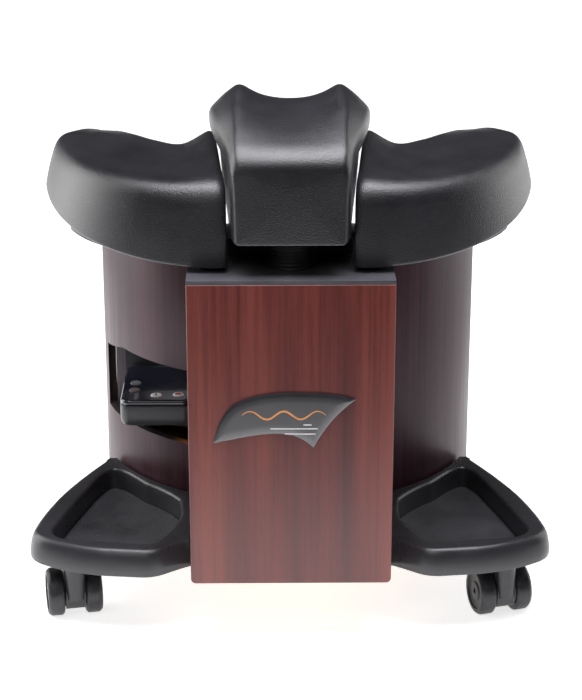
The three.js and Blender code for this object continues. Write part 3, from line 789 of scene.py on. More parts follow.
pan_skin = moulding("pan_moulding", (0.009, 0.009, 0.010), 0.5, 1100, 0.00025)
left_pan = skin("left_pan_wedge", [pan_section(mix(0.3, 0.8, k / 20)) for k in range(21)])
ease_edges(left_pan, 0.0006, 2)
right_pan = mirrored(left_pan, "right_pan_wedge")
fit(left_pan, pan_skin, "cabinet", "black_plastic", "left_pan")
fit(right_pan, pan_skin, "cabinet", "black_plastic", "right_pan")
for side in ("left", "right"):
    node_block(side + "_foot_pad", side + "_rest_foot", 0.009, 0.0012, pan_skin, "cabinet", "black_plastic")
node_block("centre_pan_plate", "centre_pan", 0.014, 0.0015, pan_skin, "centre_rest", "black_plastic")

POST_Y = PANEL_FACE + 0.057
POST_RADIUS = 0.025
post_low, post_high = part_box("footrest_post")
post_profile = [(0.0, post_low[2]), (POST_RADIUS - 0.001, post_low[2]), (POST_RADIUS, post_low[2] + 0.001)]
for rib in range(int((post_high[2] - post_low[2] - 0.004) / 0.004)):
    z = post_low[2] + 0.002 + rib * 0.004
    post_profile += [(POST_RADIUS, z + 0.0014), (POST_RADIUS - 0.0005, z + 0.002),
                     (POST_RADIUS - 0.0005, z + 0.003)]
    post_profile += [(POST_RADIUS, z + 0.0036)]
post_profile += [(POST_RADIUS - 0.001, post_high[2]), (0.0, post_high[2])]
post = turned("footrest_tube", 0, POST_Y, post_profile, 64)
fit(post, black_moulding, "centre_rest", "black_plastic", "footrest_post")


def plated_steel():
    material, tree, shader = start_material("plated_steel", 0.3, 0.5, 1.0)
    pattern = object_pattern(tree, (1, 1, 1))
    scratches = noise(tree, object_pattern(tree, (60, 60, 900)), 1.0, 4, 0.7)
    tree.links.new(
        ramp(tree, noise(tree, pattern, 60, 4), (0.3, (0.42, 0.42, 0.43)), (0.7, (0.60, 0.60, 0.61))),
        shader.inputs["Base Color"],
    )
    tree.links.new(span(tree, scratches, 0.3, 0.7, 0.22, 0.42), shader.inputs["Roughness"])
    bump(tree, shader, scratches, 0.15, 0.0002)
    return material


steel = plated_steel()
socket_low, socket_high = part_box("post_socket")
SOCKET_BORE = POST_RADIUS + 0.00035
socket_profile = [
    (SOCKET_BORE, socket_low[2]), (0.0305, socket_low[2]), (0.031, socket_low[2] + 0.0005),
    (0.031, socket_high[2] - 0.0065), (0.0322, socket_high[2] - 0.006), (0.0405, socket_high[2] - 0.006),
    (0.041, socket_high[2] - 0.0055), (0.041, socket_high[2] - 0.0005), (0.0405, socket_high[2]),
    (SOCKET_BORE, socket_high[2]), (SOCKET_BORE, socket_low[2]),
]
socket = turned("post_socket_tube", 0, POST_Y, socket_profile, 64)
fit(socket, steel, "cabinet", "steel", "post_socket")


# ---- Base and sill -----------------------------------------------------------------------
# A plywood floor closes the cabinet underneath. A low sill of the drum's laminate joins the two
# walls at the back and carries the mains inlet, and four plated screws hold it.
bare_ply, ply_tree, ply_shader = start_material("bare_ply", 0.62, 0.35)
ply_grain = noise(ply_tree, object_pattern(ply_tree, (14, 300, 300)), 1.0, 5, 0.6)
ply_tree.links.new(
    ramp(ply_tree, ply_grain, (0.3, (0.26, 0.15, 0.075)), (0.55, (0.42, 0.27, 0.15)),
         (0.8, (0.50, 0.34, 0.20))),
    ply_shader.inputs["Base Color"],
)
bump(ply_tree, ply_shader, ply_grain, 0.25, 0.0005)

base_low, base_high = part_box("base_board")
INSIDE_R = DRUM_R - WALL - 0.00035
BOX_INSIDE = PANEL_HALF - WALL - 0.00035
inside = [(-BOX_INSIDE, base_low[1]), (BOX_INSIDE, base_low[1]), (BOX_INSIDE, RETURN_END)]
corner_angle = math.degrees(math.acos((BOX_INSIDE + WALL) / INSIDE_R))
inside += arc(0, DRUM_Y, INSIDE_R, -corner_angle, 0, 40) + [(INSIDE_R, base_high[1])]
inside += [(-x, y) for x, y in reversed(inside[2:])]
base = board("base_ply", [(x, y, base_low[2]) for x, y in inside], (0, 0, base_high[2] - base_low[2]))
ease_edges(base, 0.0005, 1, 50)
fit(base, bare_ply, "cabinet", "bare_ply", "base_board")

sill_low, sill_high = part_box("rear_sill")
sill = slab("rear_sill_board", sill_low[0], sill_high[0], sill_low[1], sill_high[1],
            sill_low[2], sill_high[2])
inlet_low, inlet_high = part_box("power_inlet")
INLET_X = (inlet_low[0] + inlet_high[0]) / 2
INLET_HALF = (inlet_high[0] - inlet_low[0]) / 2
INLET_Z0 = 0.076
join_solid(sill, slab(
    "inlet_hole", INLET_X - INLET_HALF - 0.00035, INLET_X + INLET_HALF + 0.00035,
    sill_low[1] - 0.01, sill_high[1] + 0.01, INLET_Z0 - 0.00035, inlet_high[2] + 0.00035,
), "DIFFERENCE")
ease_edges(sill, 0.0008, 2)
fit(sill, drum, "cabinet", "cherry_drum", "rear_sill")

inlet = slab("inlet_body", inlet_low[0], inlet_high[0], inlet_low[1], inlet_high[1],
             inlet_low[2], inlet_high[2])
socket_shape = [(-0.0115, -0.0047), (0.0115, -0.0047), (0.0115, 0.004), (0.0075, 0.0078), (-0.0075, 0.0078),
                (-0.0115, 0.004)]
INLET_Z = 0.088
join_solid(inlet, board(
    "inlet_socket", [(INLET_X + x, sill_high[1] - 0.018, INLET_Z + z) for x, z in socket_shape],
    (0, 0.03, 0),
), "DIFFERENCE")
ease_edges(inlet, 0.0006, 2)
fit(inlet, black_moulding, "cabinet", "black_plastic", "power_inlet")
for k, x in enumerate((-0.006, 0.0, 0.006)):
    z = INLET_Z + (0.003 if x == 0.0 else 0.0)
    pin = slab("inlet_pin_" + str(k), INLET_X + x - 0.001, INLET_X + x + 0.001, sill_high[1] - 0.0185,
               sill_high[1] - 0.004, z - 0.002, z + 0.002)
    ease_edges(pin, 0.0006, 2)
    fit(pin, steel, "cabinet", "steel")

SCREW_Y = sill_high[1]
for k, (x, z) in enumerate(((-0.185, 0.078), (-0.185, 0.095), (0.185, 0.078), (0.185, 0.095))):
    bpy.ops.mesh.primitive_cylinder_add(vertices=32, radius=0.0038, depth=0.0012, location=(x, SCREW_Y, z),
                                        rotation=(math.pi / 2, 0, 0))
    screw = bpy.context.object
    screw.name = "sill_screw_" + str(k)
    bpy.ops.object.transform_apply(location=True, rotation=True, scale=True)
    for angle in (0, math.pi / 2):
        cross = slab("cross", -0.0021, 0.0021, -0.001, 0.001, -0.0005, 0.0005)
        cross.data.transform(Matrix.Translation((x, SCREW_Y + 0.0008, z))
                             @ Matrix.Rotation(angle + 0.5 * k, 4, "Y"))
        join_solid(screw, cross, "DIFFERENCE")
    ease_edges(screw, 0.0004, 2, 40)
    screw.data.transform(Matrix.Translation((0, -0.0007, 0)))
    fit(screw, steel, "cabinet", "steel")


# ---- Basin -------------------------------------------------------------------------------
# A keyhole-shaped basin of white plastic with a rolled rim, a grey mat with massage nubs in its
# floor, the shelf that it slides on, and under the shelf the air pump and the control box.
glossy_white = moulding("glossy_white", (0.80, 0.80, 0.78), 0.16, 300, 0.00005, 0.15, 0.04, 0.5, 0.03)
satin_grey = moulding("satin_grey", (0.085, 0.087, 0.093), 0.42, 1100, 0.0002, 0.4, 0.06, 0.5, 0.12)
grey_rubber = moulding("grey_rubber", (0.040, 0.040, 0.045), 0.45, 700, 0.0007, 0.9, 0.08, 0.55, 0.35)


def bezier(a, b, c, d, count):
    """The points of a cubic curve after its first."""
    result = []
    for k in range(1, count + 1):
        t = k / count
        result.append(tuple(
            (1 - t) ** 3 * a[i] + 3 * (1 - t) ** 2 * t * b[i] + 3 * (1 - t) * t * t * c[i] + t ** 3 * d[i]
            for i in range(2)
        ))
    return result


def tub_plan(grow):
    toe = 0.094 + grow
    heel = 0.174 + grow
    front = PANEL_FACE + 0.186 - grow
    back = BACK - 0.012 + grow
    neck = PANEL_FACE + 0.318
    hip = PANEL_FACE + 0.378
    r = 0.050
    half = [(0.0, front), (toe - r, front)] + arc(toe - r, front + r, r, -90, 0, 12) + [(toe, neck)]
    half += bezier((toe, neck), (toe, neck + 0.032), (heel, neck + 0.022), (heel, hip), 16)
    half += arc(heel - r, back - r, r, 0, 90, 12) + [(0.0, back)]
    return half + [(-x, y) for x, y in reversed(half[1:-1])]


tub_low, tub_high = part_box("tub")
TUB_RINGS = (
    (-0.008, 0.0), (-0.0035, 0.0012), (0.0, 0.008), (0.0, 0.160), (0.0003, 0.1662), (0.0015, 0.1668),
    (0.0062, 0.1672), (0.007, 0.1682), (0.0062, 0.1702), (0.003, 0.1706), (-0.0025, 0.1702),
    (-0.004, 0.1685), (-0.004, 0.012), (-0.006, 0.0065), (-0.012, 0.004),
)
tub = skin("basin_shell", [
    [Vector((x, y, tub_low[2] + z)) for x, y in tub_plan(grow)] for grow, z in TUB_RINGS
])
fit(tub, glossy_white, "basin", "white_plastic", "tub")

mat_low, mat_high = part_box("bubble_mat")
mat_rings = ((0.0, 0.0), (0.0, 0.0030), (-0.0008, 0.0038), (-0.0025, 0.0040))
mat = skin("basin_mat", [
    [Vector((x, y, mat_low[2] + z)) for x, y in tub_plan(-0.012 + grow)] for grow, z in mat_rings
])
NUB_PITCH = 0.017
mat_shape = bmesh.new()
mat_shape.from_mesh(mat.data)
for row in range(17):
    for column in range(-10, 11):
        x = column * NUB_PITCH + (row % 2) * NUB_PITCH / 2
        y = mat_low[1] + 0.012 + row * NUB_PITCH
        half = 0.072 if y < PANEL_FACE + 0.35 else 0.150
        if abs(x) > half or y > mat_high[1] - 0.012:
            continue
        nub = bmesh.ops.create_uvsphere(mat_shape, u_segments=10, v_segments=6, radius=0.0032)
        bmesh.ops.translate(mat_shape, vec=(x, y, mat_low[2] + 0.0022), verts=nub["verts"])
mat_shape.to_mesh(mat.data)
mat_shape.free()
fit(mat, grey_rubber, "basin", "grey_rubber", "bubble_mat")

shelf_low, shelf_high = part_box("tub_shelf")
SHELF_UNDER = 0.10035
shelf = board("shelf_board", [(x, y, SHELF_UNDER) for x, y in tub_plan(0)],
              (0, 0, shelf_high[2] - SHELF_UNDER))
for leg in ((-0.172, -0.162, 0.390, 0.430), (0.162, 0.172, 0.390, 0.430), (-0.080, 0.080, 0.200, 0.210)):
    x0, x1, y0, y1 = leg
    join_solid(shelf, slab("leg", x0, x1, PANEL_FACE + y0, PANEL_FACE + y1,
                           shelf_low[2], SHELF_UNDER + 0.002))
ease_edges(shelf, 0.0008, 2)
fit(shelf, satin_grey, "cabinet", "grey_plastic", "tub_shelf")
node_block("air_pump_case", "air_pump", 0.014, 0.002, black_moulding, "cabinet", "black_plastic")
node_block("control_case", "control_box", 0.008, 0.002, satin_grey, "cabinet", "grey_plastic")


# ---- Badge -------------------------------------------------------------------------------
# A domed wing of glossy dark grey plastic, stuck to the front panel, with a plain orange wave and
# three thin white lines inlaid.
def corner_patch(lower, upper, side, rows, columns):
    """A grid of points between a lower and an upper curve that part at a tip and end on a side."""
    def at(points, t):
        spot = t * (len(points) - 1)
        i = min(int(spot), len(points) - 2)
        return Vector(points[i]).lerp(Vector(points[i + 1]), spot - i)
    grid = []
    for i in range(columns + 1):
        u = i / columns
        strip = []
        for j in range(rows + 1):
            v = j / rows
            flat = at(lower, u).lerp(at(upper, u), v)
            end = at(lower, 1).lerp(at(upper, 1), v)
            strip.append(flat + (at(side, v) - end) * u ** 3)
        grid.append(strip)
    return grid


def quad_curve(a, b, c, count):
    return [
        tuple((1 - t) ** 2 * a[i] + 2 * (1 - t) * t * b[i] + t * t * c[i] for i in range(2))
        for t in (k / count for k in range(1, count + 1))
    ]


TIP, TOP_END, FOOT_END = (-0.076, 0.219), (0.063, 0.264), (0.022, 0.214)
badge_upper = [TIP] + bezier(TIP, (-0.072, 0.236), (-0.066, 0.253), (-0.052, 0.261), 20)
badge_upper += bezier((-0.052, 0.261), (-0.036, 0.270), (-0.012, 0.272), (0.012, 0.271), 20)
badge_upper += bezier((0.012, 0.271), (0.036, 0.271), (0.052, 0.268), TOP_END, 20)
badge_lower = [TIP] + bezier(TIP, (-0.060, 0.222), (-0.040, 0.228), (-0.017, 0.229), 24)
badge_lower += bezier((-0.017, 0.229), (0.0, 0.229), (0.010, 0.226), FOOT_END, 24)
badge_side = [FOOT_END] + quad_curve(FOOT_END, (0.038, 0.246), TOP_END, 24)
badge_edge = badge_upper + list(reversed(badge_side))[1:] + list(reversed(badge_lower))[1:-1]
BADGE_BACK = PANEL_FACE - 0.00035
BADGE_WALL = 0.0011
BADGE_CROWN = 0.0014


def edge_gap(point, a, b):
    """How far a point lies from the stretch between two others."""
    along = b - a
    share = min(max((point - a).dot(along) / along.length_squared, 0), 1)
    return (a + along * share - point).length


def badge_rise(point):
    """How far the badge's face stands out of its edge wall at a point, by the way to its edge."""
    away = min(edge_gap(point, Vector(a), Vector(b))
               for a, b in zip(badge_edge, badge_edge[1:] + badge_edge[:1]))
    near = min(away / 0.009, 1)
    return BADGE_CROWN * math.sqrt(1 - (1 - near) ** 2)


def build_badge():
    rows, columns = 22, 72
    grid = corner_patch(badge_lower, badge_upper, badge_side, rows, columns)
    points = []
    for strip in grid:
        for p in strip:
            points.append((p.x, BADGE_BACK - BADGE_WALL - badge_rise(p), p.y))
    faces = []
    for i in range(columns):
        for j in range(rows):
            a = i * (rows + 1) + j
            faces.append((a, a + rows + 1, a + rows + 2, a + 1))
    piece = new_piece("badge_dome", points, faces)
    edit_all(piece)
    bpy.ops.mesh.remove_doubles(threshold=0.00005)
    bpy.ops.mesh.select_all(action="DESELECT")
    bpy.ops.mesh.select_mode(type="EDGE")
    bpy.ops.mesh.select_non_manifold()
    bpy.ops.mesh.extrude_region_move(TRANSFORM_OT_translate={"value": (0, 0.0009, 0)})
    bpy.ops.mesh.edge_face_add()
    bpy.ops.mesh.select_all(action="SELECT")
    bpy.ops.mesh.normals_make_consistent(inside=False)
    bpy.ops.mesh.select_mode(type="VERT")
    bpy.ops.object.mode_set(mode="OBJECT")
    return piece


badge_gloss = moulding("badge_gloss", (0.030, 0.029, 0.032), 0.14, 500, 0.00003, 0.1, 0.04, 0.5, 0.15)
badge_gloss.node_tree.nodes["Principled BSDF"].inputs["Coat Weight"].default_value = 0.8
badge_gloss.node_tree.nodes["Principled BSDF"].inputs["Coat Roughness"].default_value = 0.05
badge = build_badge()
fit(badge, badge_gloss, "cabinet", "badge_plastic", "badge", angle=50)


def inlay(name, path, widths, color, slot):
    """A thin printed line on the badge: a ribbon along a path, with a width at each point."""
    points = []
    for i, p in enumerate(path):
        here = Vector(p)
        ahead = Vector(path[min(i + 1, len(path) - 1)]) - Vector(path[max(i - 1, 0)])
        side = Vector((-ahead.y, ahead.x)).normalized() * widths[i] / 2
        for edge in (here - side, here + side):
            points.append((edge.x, BADGE_BACK - BADGE_WALL - badge_rise(edge) - 0.00012, edge.y))
    faces = [(2 * i, 2 * i + 1, 2 * i + 3, 2 * i + 2) for i in range(len(path) - 1)]
    piece = new_piece(name, points, faces)
    apply_modifier(piece, "SOLIDIFY", thickness=0.0002, offset=0)
    edit_all(piece)
    bpy.ops.mesh.normals_make_consistent(inside=False)
    bpy.ops.object.mode_set(mode="OBJECT")
    print_ink = moulding(name + "_ink", color, 0.35, 900, 0.00004, 0.2, 0.05, 0.5, 0.08)
    return fit(piece, print_ink, "cabinet", slot)


wave = [(mix(-0.048, 0.034, k / 48), 0.2485 + 0.0042 * math.sin(k / 48 * 5 * math.pi)) for k in range(49)]
inlay("badge_wave", wave, [0.0019 * math.sin(math.pi * (k + 1) / 50) ** 0.5 for k in range(49)],
      (0.62, 0.25, 0.075), "badge_plastic")
for k, (x0, x1, z) in enumerate(((0.012, 0.020, 0.2385), (-0.020, 0.026, 0.2345), (-0.006, 0.024, 0.2290))):
    line = [(mix(x0, x1, i / 12), z) for i in range(13)]
    inlay("badge_line_" + str(k), line, [0.0011] * 13, (0.62, 0.60, 0.60), "badge_plastic")


# ---- Hand control ------------------------------------------------------------------------
# It lies in a black cradle behind the window: a grey case, a navy overlay film with a bright
# moulded edge, two grey keys, a white one and a white one with a red middle.
hand_low, hand_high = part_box("handset_shell")
HAND_CORNER = 0.011


def hand_ring(inset, z):
    plan = rounded_rect(hand_low[0] + inset, hand_high[0] - inset, hand_low[1] + inset, hand_high[1] - inset,
                        HAND_CORNER - inset * 0.6, 10)
    return [Vector((x, y, z)) for x, y in plan]


bottom, split_z = hand_low[2], hand_high[2]
shell = skin("handset_case", [
    hand_ring(0.008, bottom), hand_ring(0.0045, bottom + 0.0004), hand_ring(0.0020, bottom + 0.0018),
    hand_ring(0.0006, bottom + 0.0045), hand_ring(0.0, bottom + 0.009), hand_ring(0.0, split_z - 0.0016),
    hand_ring(0.0003, split_z - 0.0006), hand_ring(0.0012, split_z), hand_ring(0.004, split_z),
])
case_grey = moulding("case_grey", (0.040, 0.042, 0.047), 0.36, 1200, 0.00015, 0.35, 0.06, 0.5, 0.15)
fit(shell, case_grey, "handset", "grey_plastic", "handset_shell")

navy, navy_tree, navy_shader = start_material("navy_film", 0.13, 0.5)
navy_pattern = object_pattern(navy_tree, (1, 1, 1))
navy_tree.links.new(
    ramp(navy_tree, noise(navy_tree, navy_pattern, 30, 3), (0.3, (0.0065, 0.007, 0.014)),
         (0.7, (0.011, 0.012, 0.022))),
    navy_shader.inputs["Base Color"],
)
navy_tree.links.new(
    span(navy_tree, noise(navy_tree, navy_pattern, 90, 5), 0.3, 0.7, 0.10, 0.22),
    navy_shader.inputs["Roughness"],
)
navy_shader.inputs["Coat Weight"].default_value = 0.6
navy_shader.inputs["Coat Roughness"].default_value = 0.06

film_low, film_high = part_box("handset_fascia")
film_top = film_high[2]
fascia = skin("handset_overlay", [
    hand_ring(0.004, film_low[2]), hand_ring(0.0008, film_low[2]), hand_ring(0.0004, film_low[2] + 0.0006),
    hand_ring(0.0004, film_top - 0.0022), hand_ring(0.0009, film_top - 0.0010),
    hand_ring(0.0020, film_top - 0.0002),
    hand_ring(0.0031, film_top), hand_ring(0.0036, film_top - 0.0003), hand_ring(0.0050, film_top - 0.0003),
])
KEY_RADIUS = 0.006
key_places = {}
for key in ("key_up", "key_down", "key_heat", "key_power"):
    low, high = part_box(key)
    key_places[key] = ((low[0] + high[0]) / 2, (low[1] + high[1]) / 2, low[2], high[2])
for x, y, z0, z1 in key_places.values():
    bpy.ops.mesh.primitive_cylinder_add(vertices=48, radius=KEY_RADIUS + 0.00035, depth=0.02,
                                        location=(x, y, z0 + 0.0085))
    hole = bpy.context.object
    bpy.ops.object.transform_apply(location=True, rotation=True, scale=True)
    join_solid(fascia, hole, "DIFFERENCE")
fit(fascia, navy, "handset", "dark_gloss", "handset_fascia", angle=40)


def key_cap(name, node, body, slot, material):
    x, y, z0, z1 = key_places[node]
    r = KEY_RADIUS
    profile = [(0.0, z0), (r - 0.0004, z0), (r, z0 + 0.0004), (r, z1 - 0.0012), (r - 0.0003, z1 - 0.0005),
               (r - 0.0010, z1 - 0.0001), (r - 0.0020, z1), (r - 0.0035, z1 - 0.00015), (0.0, z1 - 0.0003)]
    return fit(turned(name, x, y, profile, 40), material, body, slot, node)


def key_mark(name, body, shape, height, color):
    """A small raised mark on a key, as an outline of (x, y) points."""
    mark = board(name, [(x, y, height - 0.0005) for x, y in shape], (0, 0, 0.0006))
    ease_edges(mark, 0.00008, 1, 50)
    ink = moulding(name + "_ink", color, 0.35, 900, 0.00004, 0.2, 0.05, 0.5, 0.08)
    return fit(mark, ink, body, "white_plastic")


key_white = moulding("key_white", (0.66, 0.65, 0.64), 0.3, 900, 0.00005, 0.2, 0.05, 0.5, 0.05)
key_grey = moulding("key_grey", (0.12, 0.125, 0.13), 0.4, 900, 0.0001, 0.3, 0.05, 0.5, 0.1)
key_mauve = moulding("key_mauve", (0.15, 0.12, 0.12), 0.4, 900, 0.0001, 0.3, 0.05, 0.5, 0.1)
key_cap("up_key_cap", "key_up", "up_key", "grey_plastic", key_grey)
key_cap("down_key_cap", "key_down", "down_key", "grey_plastic", key_mauve)
key_cap("heat_key_cap", "key_heat", "heat_key", "white_plastic", key_white)
key_cap("main_key_cap", "key_power", "main_key", "white_plastic", key_white)
heat_x, heat_y, _, heat_top = key_places["key_heat"]
bar = rounded_rect(heat_x - 0.0007, heat_x + 0.0007, heat_y - 0.0038, heat_y + 0.0038, 0.0005, 3)
key_mark("heat_key_bar", "heat_key", bar, heat_top, (0.012, 0.012, 0.016))
main_x, main_y, _, main_top = key_places["key_power"]
key_mark("main_key_dot", "main_key", arc(main_x, main_y, 0.0036, 0, 351, 39), main_top, (0.30, 0.012, 0.012))

cradle_low, cradle_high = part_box("handset_cradle")
cradle = slab("cradle_block", cradle_low[0], cradle_high[0], cradle_low[1], cradle_high[1], cradle_low[2],
              cradle_high[2])
room = slab("cradle_room", hand_low[0] - 0.002, hand_high[0] + 0.001, cradle_low[1] - 0.006,
            hand_high[1] + 0.0015, hand_low[2] - 0.00035, cradle_high[2] + 0.004)
join_solid(cradle, room, "DIFFERENCE")
ease_edges(cradle, 0.0003, 2)
fit(cradle, black_moulding, "cabinet", "black_plastic", "handset_cradle")
# Painted light: the divider is the drum's dark laminate given a pale mauve colour, so that it looks lit
# inside the window.
laminate_painted_light = moulding("laminate_painted_light", (0.15, 0.125, 0.135), 0.5, 900, 0.0001, 0.2, 0.05, 0.4, 0.12)
node_block("pocket_divider_strip", "pocket_divider", 0.001, 0.0006, laminate_painted_light, "cabinet", "cherry_drum")


# ---- Tool trays --------------------------------------------------------------------------
# Two satin charcoal mouldings at floor level with wide flat rims, deep recesses with steep walls,
# and loose mats of textured rubber in them. The right one mirrors the left.
TRAY_R = DRUM_R + 0.0005
TRAY_SIDE = -PANEL_HALF - 0.0005
tray_low, tray_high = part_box("left_tray")


def drum_heading(x):
    return 180 + math.degrees(math.acos(-x / TRAY_R))


tray_edge = [(TRAY_SIDE, 0.040)]
tray_edge += arc(0, DRUM_Y - PANEL_FACE, TRAY_R, drum_heading(TRAY_SIDE), drum_heading(-0.192), 24)
for control, end in (
    ((-0.1975, 0.276), (-0.204, 0.2665)), ((-0.236, 0.203), (-0.251, 0.156)),
    ((-0.265, 0.108), (-0.268, 0.076)),
    ((-0.269, 0.056), (-0.252, 0.044)), ((-0.227, 0.026), (-0.190, 0.018)),
    ((-0.170, 0.0157), (-0.150, 0.0135)),
    ((-0.136, 0.013), (-0.126, 0.022)), ((-0.106, 0.038), (TRAY_SIDE, 0.040)),
):
    tray_edge += quad_curve(tray_edge[-1], control, end, 12)
recess_edge = [(-0.192, 0.044), (-0.146, 0.036)]
for control, end in (
    ((-0.137, 0.038), (-0.132, 0.052)), ((-0.116, 0.084), (-0.114, 0.112)),
    ((-0.1155, 0.129), (-0.117, 0.146)),
    ((-0.132, 0.172), (-0.154, 0.190)), ((-0.164, 0.204), (-0.174, 0.218)),
    ((-0.185, 0.231), (-0.195, 0.231)),
    ((-0.206, 0.223), (-0.216, 0.182)), ((-0.232, 0.124), (-0.244, 0.074)),
    ((-0.246, 0.058), (-0.226, 0.048)),
    ((-0.209, 0.046), (-0.192, 0.044)),
):
    recess_edge += quad_curve(recess_edge[-1], control, end, 12)
TRAY_MIDDLE = Vector((-0.185, 0.115))


def reach(edge, heading):
    """How far an outline lies from the tray's middle along a heading."""
    ray = Vector((math.cos(heading), math.sin(heading)))
    best = 0.0
    for i in range(len(edge)):
        a = Vector(edge[i - 1]) - TRAY_MIDDLE
        b = Vector(edge[i]) - TRAY_MIDDLE
        gap = b - a
        cross = ray.cross(gap)
        if abs(cross) < 1e-12:
            continue
        along = a.cross(gap) / cross
        share = a.cross(ray) / cross
        if along > 0 and -1e-6 <= share <= 1 + 1e-6:
            best = max(best, along)
    return best


corner_headings = [
    math.atan2(y - TRAY_MIDDLE.y, x - TRAY_MIDDLE.x)
    for x, y in (tray_edge[0], tray_edge[1], tray_edge[25], (-0.204, 0.2665))
]
headings = sorted(set([2 * math.pi * k / 200 - math.pi for k in range(200)] + corner_headings))
outer_reach = [reach(tray_edge, a) for a in headings]
inner_reach = [reach(recess_edge, a) for a in headings]


def tray_ring(reaches, inset, z):
    """A ring at a height, drawn in from an outline by an inset square to it, less where it butts."""
    count = len(headings)
    flat = [TRAY_MIDDLE + Vector((math.cos(a), math.sin(a))) * r for a, r in zip(headings, reaches)]
    ring = []
    for i in range(count):
        along = flat[(i + 1) % count] - flat[i - 1]
        ray = Vector((math.cos(headings[i]), math.sin(headings[i])))
        slant = max(abs(Vector((along.y, -along.x)).normalized().dot(ray)), 0.45)
        here = min(inset, 0.0025) if butts(flat[i]) else inset
        p = flat[i] - ray * (here / slant)
        ring.append(Vector((p.x, PANEL_FACE + p.y, z)))
    return ring


def butts(point):
    """Whether a point of the outline touches the box's side or the drum."""
    axis = Vector((0, DRUM_Y - PANEL_FACE))
    return point.x > TRAY_SIDE - 0.001 or (point - axis).length < TRAY_R + 0.001


tray_base, tray_top = tray_low[2], tray_high[2]
TRAY_FLOOR = 0.0695
outer_steps = [(0.0015, tray_base), (0.0004, tray_base + 0.0004), (0.0, tray_base + 0.0015), (0.0, 0.075),
               (0.0008, 0.080), (0.0020, 0.086), (0.0040, 0.091), (0.0065, 0.094), (0.0090, tray_top)]
inner_steps = [(-0.0042, tray_top), (-0.0022, tray_top - 0.0003), (-0.0008, tray_top - 0.0013),
               (0.0, tray_top - 0.0034), (0.0004, TRAY_FLOOR + 0.0030), (0.0010, TRAY_FLOOR + 0.0008),
               (0.0030, TRAY_FLOOR)]
left_tray = skin("left_tray_moulding", [tray_ring(outer_reach, inset, z) for inset, z in outer_steps]
                 + [tray_ring(inner_reach, inset, z) for inset, z in inner_steps])
satin_charcoal = moulding("satin_charcoal", (0.024, 0.024, 0.027), 0.30, 1100, 0.00022, 0.45, 0.05,
                          0.5, 0.18)
right_tray = mirrored(left_tray, "right_tray_moulding")
MAT_TOP = 0.072
left_mat = skin("left_mat_sheet", [
    tray_ring(inner_reach, 0.0018, 0.06985), tray_ring(inner_reach, 0.0013, MAT_TOP - 0.0007),
    tray_ring(inner_reach, 0.0020, MAT_TOP), tray_ring(inner_reach, 0.0030, MAT_TOP),
])
right_mat = mirrored(left_mat, "right_mat_sheet")
for side, moulded, sheet in (("left", left_tray, left_mat), ("right", right_tray, right_mat)):
    fit(moulded, satin_charcoal, "cabinet", "charcoal_plastic", side + "_tray", angle=40)
    fit(sheet, grey_rubber, "cabinet", "grey_rubber", side + "_mat")


# ---- Casters -----------------------------------------------------------------------------
# Four twin-wheel casters. A plated pin and plate hold each under a tray or the floor, and a
# black hood turns on it between two wheels with hard treads and dished grey-edged faces.
CASTERS = {
    "front_left": (-0.222, 0.058, 11),
    "front_right": (0.222, 0.058, 16),
    "rear_left": (-0.150, 0.420, 24),
    "rear_right": (0.150, 0.420, -14),
}
TRAIL = 0.016
HOOD_HALF = 0.010
WHEEL_R = 0.025
WHEEL_WIDTH = 0.017
PIN_R = 0.005
AXLE_R = 0.0025
MOUNT_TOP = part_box("caster_front_left_mount")[1][2]

caster_black = moulding("caster_black", (0.018, 0.018, 0.020), 0.34, 1100, 0.00018, 0.35, 0.06, 0.5, 0.2)
blackened_steel = moulding("blackened_steel", (0.030, 0.030, 0.033), 0.45, 900, 0.0001, 0.3, 0.08, 0.5, 0.3)


def tread_rubber():
    """Black tread: scuffed and dusty round its rim, darker on its sides."""
    material, tree, shader = start_material("tread_rubber", 0.45, 0.45)
    scuffs = noise(tree, object_pattern(tree, (1, 1, 1)), 160, 6, 0.65)
    tree.links.new(
        ramp(tree, scuffs, (0.35, (0.010, 0.010, 0.012)), (0.6, (0.020, 0.020, 0.023)),
             (0.8, (0.045, 0.044, 0.045))),
        shader.inputs["Base Color"],
    )
    tree.links.new(span(tree, scuffs, 0.3, 0.8, 0.32, 0.6), shader.inputs["Roughness"])
    bump(tree, shader, scuffs, 0.25, 0.0003)
    return material


tread = tread_rubber()


def wheel_blank(side):
    """A wheel's closed shape about its own axle: hub, dished face, rounded tread and inner face."""
    r, w = WHEEL_R, WHEEL_WIDTH
    bore = AXLE_R + 0.0003
    profile = [
        (bore, 0.0), (r - 0.0030, 0.0), (r - 0.0022, 0.0003), (r - 0.0003, 0.0020), (r, 0.0028),
        (r, w - 0.0038),
        (r - 0.0003, w - 0.0030), (r - 0.0022, w - 0.0006), (r - 0.0030, w - 0.0001), (r - 0.0042, w),
        (r - 0.0062, w - 0.0002), (r - 0.0068, w - 0.0016), (r - 0.0082, w - 0.0024), (0.0105, w - 0.0024),
        (0.0098, w - 0.0018), (0.0090, w - 0.0011), (0.0060, w - 0.0008), (bore, w - 0.0008), (bore, 0.0),
    ]
    piece = turned("wheel_blank", 0, 0, profile, 64)
    piece.data.transform(Matrix.Rotation(side * math.pi / 2, 4, "Y"))
    piece.data.transform(Matrix.Translation((side * (HOOD_HALF + 0.001), TRAIL, WHEEL_R)))
    return piece


def round_bar(name, radius, start, end, vertices=48):
    """A round bar between two points, standing in its own mesh."""
    start, end = Vector(start), Vector(end)
    bpy.ops.mesh.primitive_cylinder_add(vertices=vertices, radius=radius, depth=(end - start).length)
    piece = bpy.context.object
    piece.name = name
    turn = (end - start).to_track_quat("Z", "Y").to_matrix().to_4x4()
    piece.data.transform(Matrix.Translation((start + end) / 2) @ turn)
    return piece


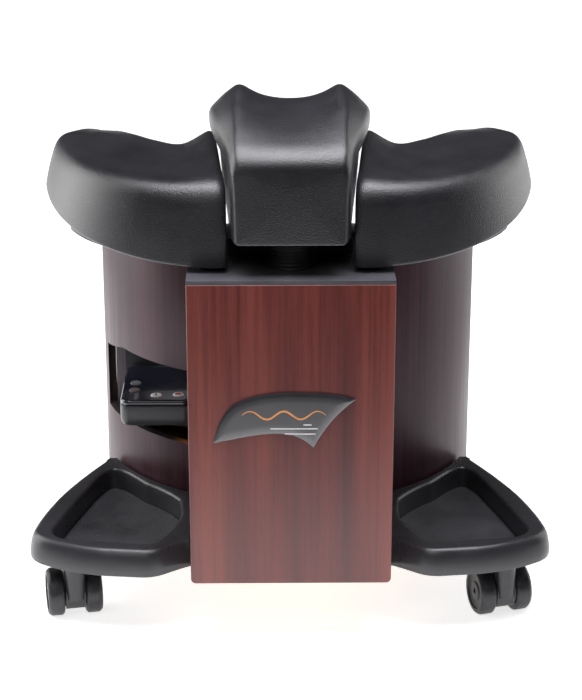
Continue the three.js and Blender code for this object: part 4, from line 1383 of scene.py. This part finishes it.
def hood_blank():
    half = HOOD_HALF
    hood = round_bar("hood_blank", 0.022, (-half, TRAIL, WHEEL_R + 0.001),
                     (half, TRAIL, WHEEL_R + 0.001), 64)
    column = round_bar("column", half + 0.0005, (0, 0, 0.024), (0, 0, 0.063))
    join_solid(hood, column)
    join_solid(hood, slab("bridge", -half, half, 0, TRAIL, 0.024, 0.046))
    join_solid(hood, slab("under", -0.04, 0.04, -0.04, 0.06, -0.01, 0.012), "DIFFERENCE")
    join_solid(hood, round_bar("pin_bore", PIN_R + 0.0005, (0, 0, 0.049), (0, 0, 0.08)), "DIFFERENCE")
    axle_bore = round_bar("axle_bore", AXLE_R + 0.0003, (-0.03, TRAIL, WHEEL_R), (0.03, TRAIL, WHEEL_R), 32)
    join_solid(hood, axle_bore, "DIFFERENCE")
    ease_edges(hood, 0.0011, 3, 35)
    return hood


def mount_blank():
    profile = [(0.0, 0.050), (PIN_R - 0.0006, 0.050), (PIN_R, 0.0506), (PIN_R, MOUNT_TOP - 0.00305),
               (0.0186, MOUNT_TOP - 0.00305), (0.019, MOUNT_TOP - 0.0026), (0.019, MOUNT_TOP - 0.0004),
               (0.0186, MOUNT_TOP), (0.0, MOUNT_TOP)]
    return turned("mount_blank", 0, 0, profile, 48)


blanks = {
    "hood": hood_blank(),
    "mount": mount_blank(),
    "wheel_l": wheel_blank(-1),
    "wheel_r": wheel_blank(1),
    "axle": round_bar("axle_blank", AXLE_R, (-0.025, TRAIL, WHEEL_R), (0.025, TRAIL, WHEEL_R), 24),
}
ease_edges(blanks["axle"], 0.0005, 2)
CASTER_FINISH = {
    "hood": (caster_black, "black_plastic", "swivel_{}"),
    "mount": (blackened_steel, "steel", "cabinet"),
    "wheel_l": (tread, "tread", "wheel_{}_l"),
    "wheel_r": (tread, "tread", "wheel_{}_r"),
    "axle": (steel, "steel", "swivel_{}"),
}
for corner, (x, y, yaw) in CASTERS.items():
    place = Matrix.Translation((x, PANEL_FACE + y, 0)) @ Matrix.Rotation(math.radians(yaw), 4, "Z")
    for part, (material, slot, body) in CASTER_FINISH.items():
        piece = bpy.data.objects.new("caster_" + corner + "_" + part + "_fine", blanks[part].data.copy())
        piece.data.transform(place)
        bpy.context.scene.collection.objects.link(piece)
        fit(piece, material, body.format(corner), slot, "caster_" + corner + "_" + part, angle=30)
for blank in blanks.values():
    bpy.data.objects.remove(blank)
